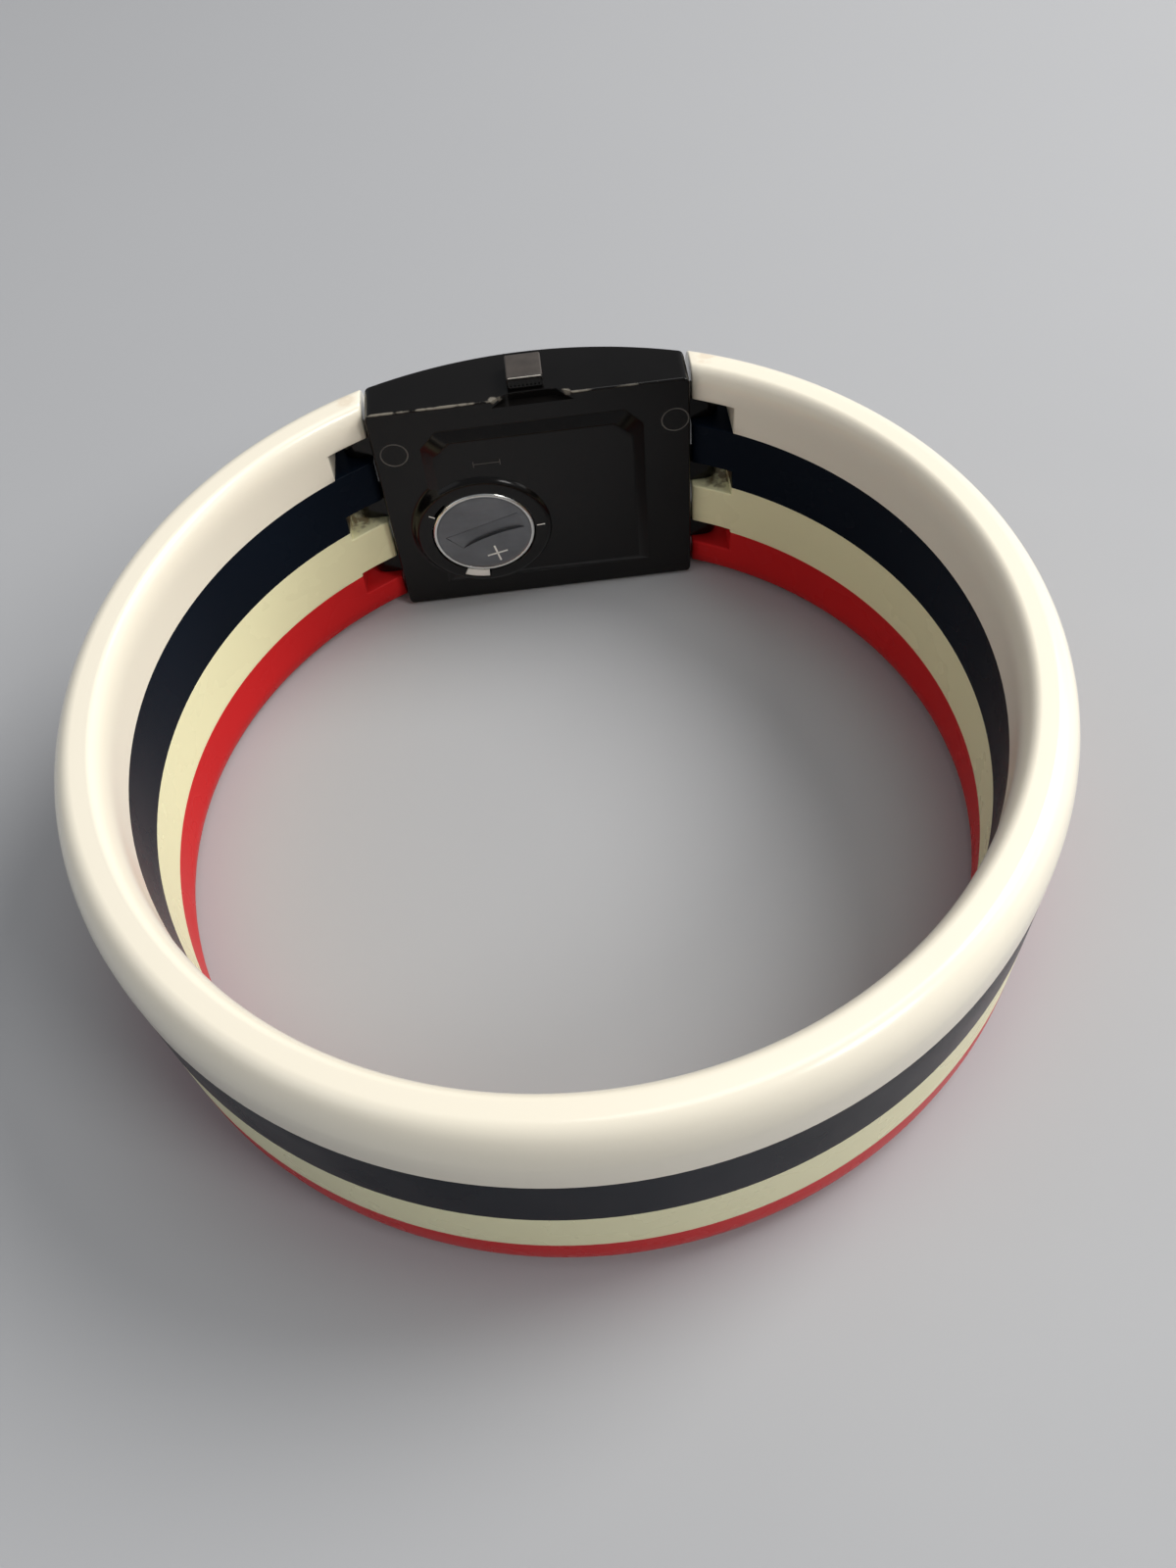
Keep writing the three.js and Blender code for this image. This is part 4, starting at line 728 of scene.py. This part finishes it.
def hatch_cutters():
    """The bore with its flared mouth, the tabs' groove, the cell's well, the rim's notch and the entries."""
    bore = [(0, OUTSIDE), (SEAT_RADIUS + 0.08, OUTSIDE), (SEAT_RADIUS + 0.08, -BOSS_PROUD),
            (SEAT_RADIUS + 0.03, -BOSS_PROUD + 0.04), (SEAT_RADIUS, -BOSS_PROUD + 0.14),
            (SEAT_RADIUS, HATCH_FLOOR + 0.3), (0, HATCH_FLOOR + 0.3)]
    groove = SEAT_RADIUS + TAB_REACH
    pocket = ring_sector(SEAT_RADIUS - 0.4, NOTCH_REACH, NOTCH_HALF_ANGLE)
    return [lathe("bore", bore, CELL_AT, 128),
            cylinder("undercut", groove, HATCH_FLOOR - 0.27, HATCH_FLOOR + 0.3, CELL_AT, 96),
            cylinder("well", WELL_RADIUS, HATCH_FLOOR + 0.2, BACK_WALL + 1, CELL_AT, 96),
            extrude("pocket", pocket, OUTSIDE, -BOSS_PROUD + 0.24, "y")] + [
        extrude("entry", fan(angle, ENTRY_HALF_ANGLE, groove), OUTSIDE, HATCH_FLOOR + 0.25, "y")
        for angle in ENTRY_ANGLES]


def make_scoop():
    """The thumb's hollow in the upper side, beside the crown."""
    floor, edge, depth = 1.45, 3.3, 0.8
    right = [(edge + 0.9, -0.3), (edge, 0.0), (floor + 0.5, depth - 0.12), (floor, depth)]
    left = [(-dx, d) for dx, d in right[::-1]]
    outline = [(SCOOP_X + dx, d) for dx, d in left[-1:] + right + left[:-1]]
    return extrude("scoop", outline, CASE_HALF_WIDTH - 0.7, CASE_HALF_WIDTH + 1, "z")


def bar_z(name, radius, x, depth, z0, z1):
    return extrude(name, circle((x, depth), radius), z0, z1, "z")


STEM_DEPTH = 2.4
STEM_HOLE, PIN_HOLE = 0.5, 0.6


def make_case():
    case = make_case_shell()
    lugs = [make_lug(side, z - CASE_MID_Z) for side in (-1, 1) for z in SLOT_Z]
    combine(case, lugs + [make_platform(), make_boss()], "UNION")
    cavity = block("cavity", -CAVITY[0], CAVITY[0], BACK_WALL, CASE_FRONT + 1, -CAVITY[1], CAVITY[1])
    seat = front_arc(FRONT_RADIUS - CRYSTAL_THICKNESS - 0.02, CRYSTAL_HALF[0], 40)
    seat += [(-CRYSTAL_HALF[0], CASE_FRONT + 1), (CRYSTAL_HALF[0], CASE_FRONT + 1)]
    rebate = extrude("rebate", seat, -CRYSTAL_HALF[1], CRYSTAL_HALF[1], "z")
    stem = bar_z("stem_hole", STEM_HOLE, 0, STEM_DEPTH, CAVITY[1] - 1, CASE_HALF_WIDTH + 1)
    pins = [bar_z("pin_hole", PIN_HOLE, side * PIN_X, PIN_DEPTH, -12, 12) for side in (-1, 1)]
    combine(case, [cavity, rebate, stem, make_scoop()] + pins + hatch_cutters())
    finish(case, black, replaces=["case_body"], angle=32)


make_case()


def ring_line(name, centre, radius, depth, width=0.07, height=0.03):
    """A hair-thin raised ring on a face, with a rounded top."""
    profile = [(radius + width * math.cos(a), depth + 0.01 - height * math.sin(a))
               for a in (math.pi * k / 5 for k in range(6))]
    return lathe(name, profile, centre, 48)


for label, centre in (("left", (-11.3, 6.55)), ("right", (11.76, 6.8))):
    finish(ring_line("ejector_ring_" + label, centre, 1.1, 0.0), black_worn)


# ---- The battery hatch ----
def make_hatch():
    bevel_in = HATCH_RADIUS - 0.34
    line = [(0, HATCH_TOP + 0.06), (bevel_in - 0.1, HATCH_TOP + 0.06), (bevel_in, HATCH_TOP),
            (HATCH_RADIUS - 0.12, HATCH_TOP), (HATCH_RADIUS, HATCH_TOP + 0.12), (HATCH_RADIUS, HATCH_FLOOR)]
    disc = lathe("battery_cover", rounded_step(line, 0.06, 3) + [(0, HATCH_FLOOR)], CELL_AT, 128)
    outlines = [fan(angle + math.pi / 3, TAB_HALF_ANGLE, HATCH_RADIUS + TAB_REACH) for angle in ENTRY_ANGLES]
    tabs = [extrude("tab", outline, HATCH_FLOOR - TAB_THICKNESS, HATCH_FLOOR, "y") for outline in outlines]
    return combine(disc, tabs, "UNION")


COIN_ANGLE = 0.3
COIN_AT = (CELL_AT[0] - 0.15, CELL_AT[1] + 0.83)
COIN_HALF = 3.35
COIN_FOOT_HALF, COIN_FOOT_SHIFT = 2.9, 0.42
ABOVE_HATCH = -1.3  # where the hatch's cutters begin, clear of its face


def coin_place(u, w):
    """A place on the hatch, u along its coin slot and w across it."""
    c, s = math.cos(COIN_ANGLE), math.sin(COIN_ANGLE)
    return COIN_AT[0] + u * c - w * s, COIN_AT[1] + u * s + w * c


def coin_recess():
    """A coin's slot: its floor falls from a straight upper edge to a steep, slightly bowed lower edge."""
    verts, faces, steps = [], [], 28
    for k in range(steps + 1):
        t = -1 + 2 * k / steps
        top, foot = COIN_HALF * t, COIN_FOOT_SHIFT + COIN_FOOT_HALF * t
        across = -1.72 + 0.3 * (1 - t * t)
        deep = HATCH_TOP + 0.07 + 0.24 * (1 - t**6)
        section = ((top, 0.0, ABOVE_HATCH), (top, 0.0, HATCH_TOP + 0.13), (foot, across + 0.16, deep),
                   (foot, across, deep), (foot, across, ABOVE_HATCH))
        for u, w, depth in section:
            x, z = coin_place(u, w)
            verts.append((x, depth, z))
    for k in range(steps):
        faces += [(5 * k + i, 5 * k + (i + 1) % 5, 5 * k + 5 + (i + 1) % 5, 5 * k + 5 + i) for i in range(5)]
    faces += [list(range(5)), list(range(5 * steps, 5 * steps + 5))[::-1]]
    return from_faces("coin_cut", verts, faces)


def coin_line():
    """The fine line that runs along the upper edge of the coin's slot."""
    outline = [coin_place(u * COIN_HALF, w * 0.05) for u, w in ((-1, -1), (1, -1), (1, 1), (-1, 1))]
    return extrude("coin_line", outline, ABOVE_HATCH, HATCH_TOP + 0.26, "y")


hatch = combine(make_hatch(), [coin_recess(), coin_line()])
finish(hatch, hatch_steel, body="hatch_body", replaces=["battery_hatch"], angle=30)


def bar_mark(name, centre, length, width, angle, depth, height=0.025, shoulder=0.6):
    """A thin bar on a face, with rounded long edges. Below 0, its height stands out towards the front."""
    u, w, foot = length / 2, width / 2, math.copysign(0.02, height)
    edge = -height * shoulder
    outline = [(-w, foot), (w, foot), (w, edge), (w / 2, -height), (-w / 2, -height), (-w, edge)]
    mark = extrude(name, outline, -u, u, "z")
    mark.data.transform(Matrix.Rotation(math.pi / 2 - angle, 4, "Y"))
    return move(mark, centre[0], depth, centre[1])


RIM_LINE = [(HATCH_RADIUS - 0.33, HATCH_TOP + 0.1), (HATCH_RADIUS - 0.28, HATCH_TOP - 0.02),
            (HATCH_RADIUS - 0.11, HATCH_TOP - 0.03), (HATCH_RADIUS + 0.03, HATCH_TOP + 0.1),
            (HATCH_RADIUS + 0.03, HATCH_TOP + 0.3)]
rim = lathe("battery_cover_rim", rounded_step(RIM_LINE, 0.05, 3), CELL_AT, 128)
finish(rim, hatch_edge, body="hatch_body")
PLUS_AT, PLUS_ANGLE = (CELL_AT[0] + 0.85, CELL_AT[1] - 2.55), 0.22
for label, angle in (("across", PLUS_ANGLE), ("up", PLUS_ANGLE + math.pi / 2)):
    mark = bar_mark("plus_" + label, PLUS_AT, 1.85, 0.17, angle, HATCH_TOP + 0.075)
    finish(mark, hatch_bright, body="hatch_body")
plate_outline = ring_sector(SEAT_RADIUS + 0.05, NOTCH_REACH - 0.03, NOTCH_HALF_ANGLE - 0.008)
notch_plate = extrude("notch_plate", plate_outline, -BOSS_PROUD + 0.06, -BOSS_PROUD + 0.3, "y")
finish(bevel(notch_plate, 0.05, 2, angle=40), hatch_bright)

# The tick marks either side of the hatch, and the small line mark above it.
for label, angle, radius, length in (("left", 2.6, 4.86, 0.55), ("right", 0.05, 4.95, 0.7)):
    at = polar(CELL_AT, radius, angle)
    mark = bar_mark("lock_tick_" + label, at, length, 0.1, angle, -BOSS_PROUD + 0.01)
    finish(mark, hatch_bright)
MARK_AT, MARK_HALF = (-3.95, 5.05), 1.1
MARK_LINES = (("bar", 0.0, 2 * MARK_HALF, 0.0), ("left", -MARK_HALF, 0.6, math.pi / 2),
              ("right", MARK_HALF, 0.6, math.pi / 2))
for label, dx, length, angle in MARK_LINES:
    at = (MARK_AT[0] + dx, MARK_AT[1])
    mark = bar_mark("line_mark_" + label, at, length, 0.07, angle, -PLATFORM_RISE + 0.01)
    finish(mark, black_worn)


# ---- The crown ----
CROWN_LOW, CROWN_HIGH = low("crown"), high("crown")
CROWN_CAP = 0.3
GROOVES, GROOVE_DEPTH = 8, 0.09


def make_crown():
    """The crown's grooved block, its worn cap and a pale lip at the cap's edge that paints a highlight on
    its chamfer.
    """
    x0, x1 = CROWN_LOW.x, CROWN_HIGH.x
    y0, y1 = CROWN_LOW.y - BACK_Y, CROWN_HIGH.y - BACK_Y
    z0, z1 = CROWN_LOW.z - CASE_MID_Z, CROWN_HIGH.z - CASE_MID_Z
    crown = block("crown_block", x0, x1, y0, y1, z0, z1 - CROWN_CAP + 0.06)
    bevel(crown, 0.12, angle=40)
    grooves = []
    for ys in ((y0 - 0.5, y0 + GROOVE_DEPTH), (y1 - GROOVE_DEPTH, y1 + 0.5)):
        for k in range(1, GROOVES + 1):
            x = x0 + (x1 - x0) * k / (GROOVES + 1)
            grooves.append(block("groove", x - 0.06, x + 0.06, *ys, z0 + 0.3, z1 - CROWN_CAP - 0.1))
    combine(crown, grooves)
    finish(crown, black, body="stem_body", replaces=["crown"])
    cap = block("crown_cap", x0 + 0.02, x1 - 0.02, y0 + 0.02, y1 - 0.02, z1 - CROWN_CAP, z1)
    finish(bevel(cap, 0.13, angle=40), crown_grey, body="stem_body")
    # A pale lip at the cap's edge: a painted highlight on the crown's chamfer.
    lip = block("crown_lip", x0 + 0.12, x1 - 0.12, y0 - 0.01, y0 + 0.16, z1 - 0.2, z1 - 0.08)
    finish(bevel(lip, 0.05, 2, angle=40), crown_edge_highlight, body="stem_body")


make_crown()


# ---- Crystal, dial and hands ----
def make_crystal():
    half, width = CRYSTAL_HALF[0] - 0.05, CRYSTAL_HALF[1] - 0.05
    outline = front_arc(FRONT_RADIUS, half, 48)
    outline += front_arc(FRONT_RADIUS - CRYSTAL_THICKNESS, half, 48)[::-1]
    glass = extrude("crystal_glass", outline, -width, width, "z")
    return bevel(glass, 0.12, 2, angle=40)


finish(make_crystal(), crystal_clear, replaces=["crystal"])

DIAL_TOP, DIAL_THICKNESS, DIAL_HOLE = 3.3, 0.2, 0.66
DIAL_HALF = (high("dial").x, high("dial").z - CASE_MID_Z)


def make_dial():
    x, z, r = DIAL_HALF[0], DIAL_HALF[1], 0.7
    outline = []
    for quarter, (right, up) in enumerate(((1, 1), (-1, 1), (-1, -1), (1, -1))):
        corner = (right * (x - r), up * (z - r))
        outline += [polar(corner, r, (quarter + k / 5) * math.pi / 2) for k in range(6)]
    plate = extrude("dial_plate", outline, DIAL_TOP - DIAL_THICKNESS, DIAL_TOP, "y")
    return combine(plate, [cylinder("hole", DIAL_HOLE, 0, 6, (0, 0), 32)])


finish(make_dial(), dial_white, replaces=["dial"])


def edge_reach(angle, inset):
    """How far the dial reaches at an angle, short of its edge by inset."""
    x, z = DIAL_HALF[0] - inset, DIAL_HALF[1] - inset
    return min(x / max(TINY, abs(math.cos(angle))), z / max(TINY, abs(math.sin(angle))))


def join(name, pieces):
    bm = bmesh.new()
    for piece in pieces:
        bm.from_mesh(piece.data)
        bpy.data.objects.remove(piece)
    mesh = bpy.data.meshes.new(name)
    bm.to_mesh(mesh)
    bm.free()
    return new_object(name, mesh)


batons, minutes = [], []
for k in range(60):
    angle = k * math.pi / 30
    outer = edge_reach(angle, 0.45)
    if k % 5:
        at = polar((0, 0), outer - 0.25, angle)
        minutes.append(bar_mark("minute", at, 0.5, 0.07, angle, DIAL_TOP, -0.012))
        continue
    at = polar((0, 0), outer - 0.95, angle)
    width = 0.5 if k % 15 == 0 else 0.34
    batons.append(bar_mark("baton", at, 1.7, width, angle, DIAL_TOP, -0.07, shoulder=1.0))
finish(join("dial_batons", batons), dial_ink)
finish(join("dial_minutes", minutes), dial_ink)


def make_hand(name, node, length, tail, half_width, hub):
    """A faceted hand: its middle line stands proud, and it keeps the direction of its CAD piece."""
    depth0, depth1 = low(node).y - BACK_Y, high(node).y - BACK_Y
    edge = depth1 - 0.035
    places = (Vector((v.co.x / MM, v.co.z / MM - CASE_MID_Z)) for v in nodes[node].data.vertices)
    far = max(places, key=lambda p: p.length)
    angle = math.atan2(far.y, far.x)
    plan = [(-tail, half_width * 0.8), (0.0, half_width), (length * 0.86, half_width * 0.55), (length, 0.0)]
    verts, faces = [], []
    for x, w in plan:
        verts += [(x, depth0, -w), (x, depth0, w), (x, edge, -w), (x, depth1, 0.0), (x, edge, w)]
    for k in range(len(plan) - 1):
        a, b = 5 * k, 5 * k + 5
        faces += [(a, b, b + 1, a + 1), (a, a + 2, b + 2, b), (a + 1, b + 1, b + 4, a + 4),
                  (a + 2, a + 3, b + 3, b + 2), (a + 3, a + 4, b + 4, b + 3)]
    faces += [(0, 1, 4, 3, 2)]
    blade = from_faces(name, verts, faces)
    bm = bmesh.new()
    bm.from_mesh(blade.data)
    bmesh.ops.remove_doubles(bm, verts=bm.verts, dist=1e-5)
    bmesh.ops.holes_fill(bm, edges=bm.edges, sides=0)
    bmesh.ops.recalc_face_normals(bm, faces=bm.faces)
    bm.to_mesh(blade.data)
    bm.free()
    blade.data.transform(Matrix.Rotation(-angle, 4, "Y"))
    profile = [(0, depth0), (hub, depth0), (hub, depth1 - 0.03), (hub - 0.04, depth1), (0, depth1)]
    return combine(blade, [lathe("hub", profile, (0, 0), 48)], "UNION")


# Each hand's length, tail, half width and hub radius.
HANDS = (("hour", (5.0, 1.4, 0.42, 0.95), hand_black, "hand_black"),
         ("minute", (7.2, 1.4, 0.34, 0.75), hand_black, "hand_black"),
         ("second", (7.5, 2.0, 0.11, 0.5), hand_red, "hand_red"))
for name, sizes, material, slot in HANDS:
    hand = make_hand(name + "_pointer", name + "_hand", *sizes)
    finish(hand, material, body=name + "_hand_train", replaces=[name + "_hand"])

# ---- Finishes of the kept CAD pieces ----
KEPT = {
    steel: ("lug_pin_left", "lug_pin_right", "battery_cell", "quartz_resonator", "setting_wheel",
            "setting_pinion", "setting_lever", "setting_stem"),
    brass: ("battery_contact", "main_plate", "train_bridge", "intermediate_wheel", "second_wheel",
            "third_wheel", "centre_wheel", "minute_wheel", "hour_wheel"),
    iron: ("stator", "coil_core", "rotor"),
    copper: ("coil_winding",),
    rubber: ("hatch_gasket", "crown_gasket"),
    board: ("circuit_board",),
    resin: ("driver_chip",),
}
for material, names in KEPT.items():
    for name in names:
        nodes[name].data.materials.clear()
        nodes[name].data.materials.append(material)

# ---- Floor, light and camera ----
FLOOR_HALF, FLOOR_DROP = 3.0, 0.00002
bm = bmesh.new()
bmesh.ops.create_grid(bm, x_segments=1, y_segments=1, size=FLOOR_HALF)
mesh = bpy.data.meshes.new("floor")
bm.to_mesh(mesh)
bm.free()
floor = new_object("floor", mesh)
floor.location.z = -FLOOR_DROP
paint = Nodes("floor_pale")
paint.link(paint.mix(paint.noise(6), (0.40, 0.405, 0.42), (0.43, 0.435, 0.445)),
           paint.shader.inputs["Base Color"])
paint.link(paint.remap(paint.noise(40), 0.3, 0.7, 0.75, 0.9), paint.shader.inputs["Roughness"])
floor.data.materials.append(paint.material)

world = bpy.data.worlds.new("studio")
bpy.context.scene.world = world
world.use_nodes = True
sky = world.node_tree.nodes["Background"]
sky.inputs["Color"].default_value = (0.92, 0.95, 1.0, 1)
sky.inputs["Strength"].default_value = 0.26
CENTRE = Vector((0, RING_Y, HALF_BAND)) * MM


def area_light(name, azimuth, elevation, distance, size, power, color):
    """A round soft light that looks at the ring. Its azimuth runs from +X towards +Y; metres and watts."""
    a, e = math.radians(azimuth), math.radians(elevation)
    away = Vector((math.cos(a) * math.cos(e), math.sin(a) * math.cos(e), math.sin(e)))
    data = bpy.data.lights.new(name, "AREA")
    data.shape = "DISK"
    data.size = size
    data.energy = power
    data.color = color
    light = bpy.data.objects.new(name, data)
    bpy.context.scene.collection.objects.link(light)
    light.location = CENTRE + away * distance
    light.rotation_euler = (-away).to_track_quat("-Z", "Y").to_euler()


area_light("key_window", 22, 47, 0.55, 0.28, 2.2, (1.0, 0.985, 0.96))
area_light("overhead", 20, 78, 0.6, 0.30, 0.6, (1.0, 1.0, 1.0))
area_light("fill_left", 200, 40, 0.6, 0.45, 0.25, (0.93, 0.96, 1.0))
area_light("side_right", 5, 24, 0.6, 0.4, 0.7, (1.0, 0.99, 0.97))
area_light("front_right", 322, 42, 0.6, 0.18, 0.75, (1.0, 0.98, 0.95))

# The camera looks down at the watch from the side across from its case.
VIEW_FROM = Vector((1.18, -56.58, 77.90))
VIEW_RIGHT = Vector((0.9931, -0.0964, -0.0663))
VIEW_UP = Vector((0.1170, 0.8184, 0.5626))
VIEW_DROP = 0.34
TURN = Matrix.Rotation(math.radians(0.8), 3, VIEW_RIGHT) @ Matrix.Rotation(math.radians(-0.2), 3, "Z")
right, up = TURN @ VIEW_RIGHT, TURN @ VIEW_UP
back = right.cross(up).normalized()
up = back.cross(right).normalized()
camera_data = bpy.data.cameras.new("camera")
camera_data.lens = 29.93
camera_data.sensor_width = 36
camera_data.sensor_fit = "AUTO"
camera_data.clip_start = 0.005
camera = bpy.data.objects.new("camera", camera_data)
bpy.context.scene.collection.objects.link(camera)
place = CENTRE + (TURN @ VIEW_FROM - up * VIEW_DROP) * MM
axes = Matrix((right, up, back)).transposed().to_4x4()
camera.matrix_world = Matrix.Translation(place) @ axes
bpy.context.scene.camera = camera
bpy.context.scene.view_settings.view_transform = "Standard"
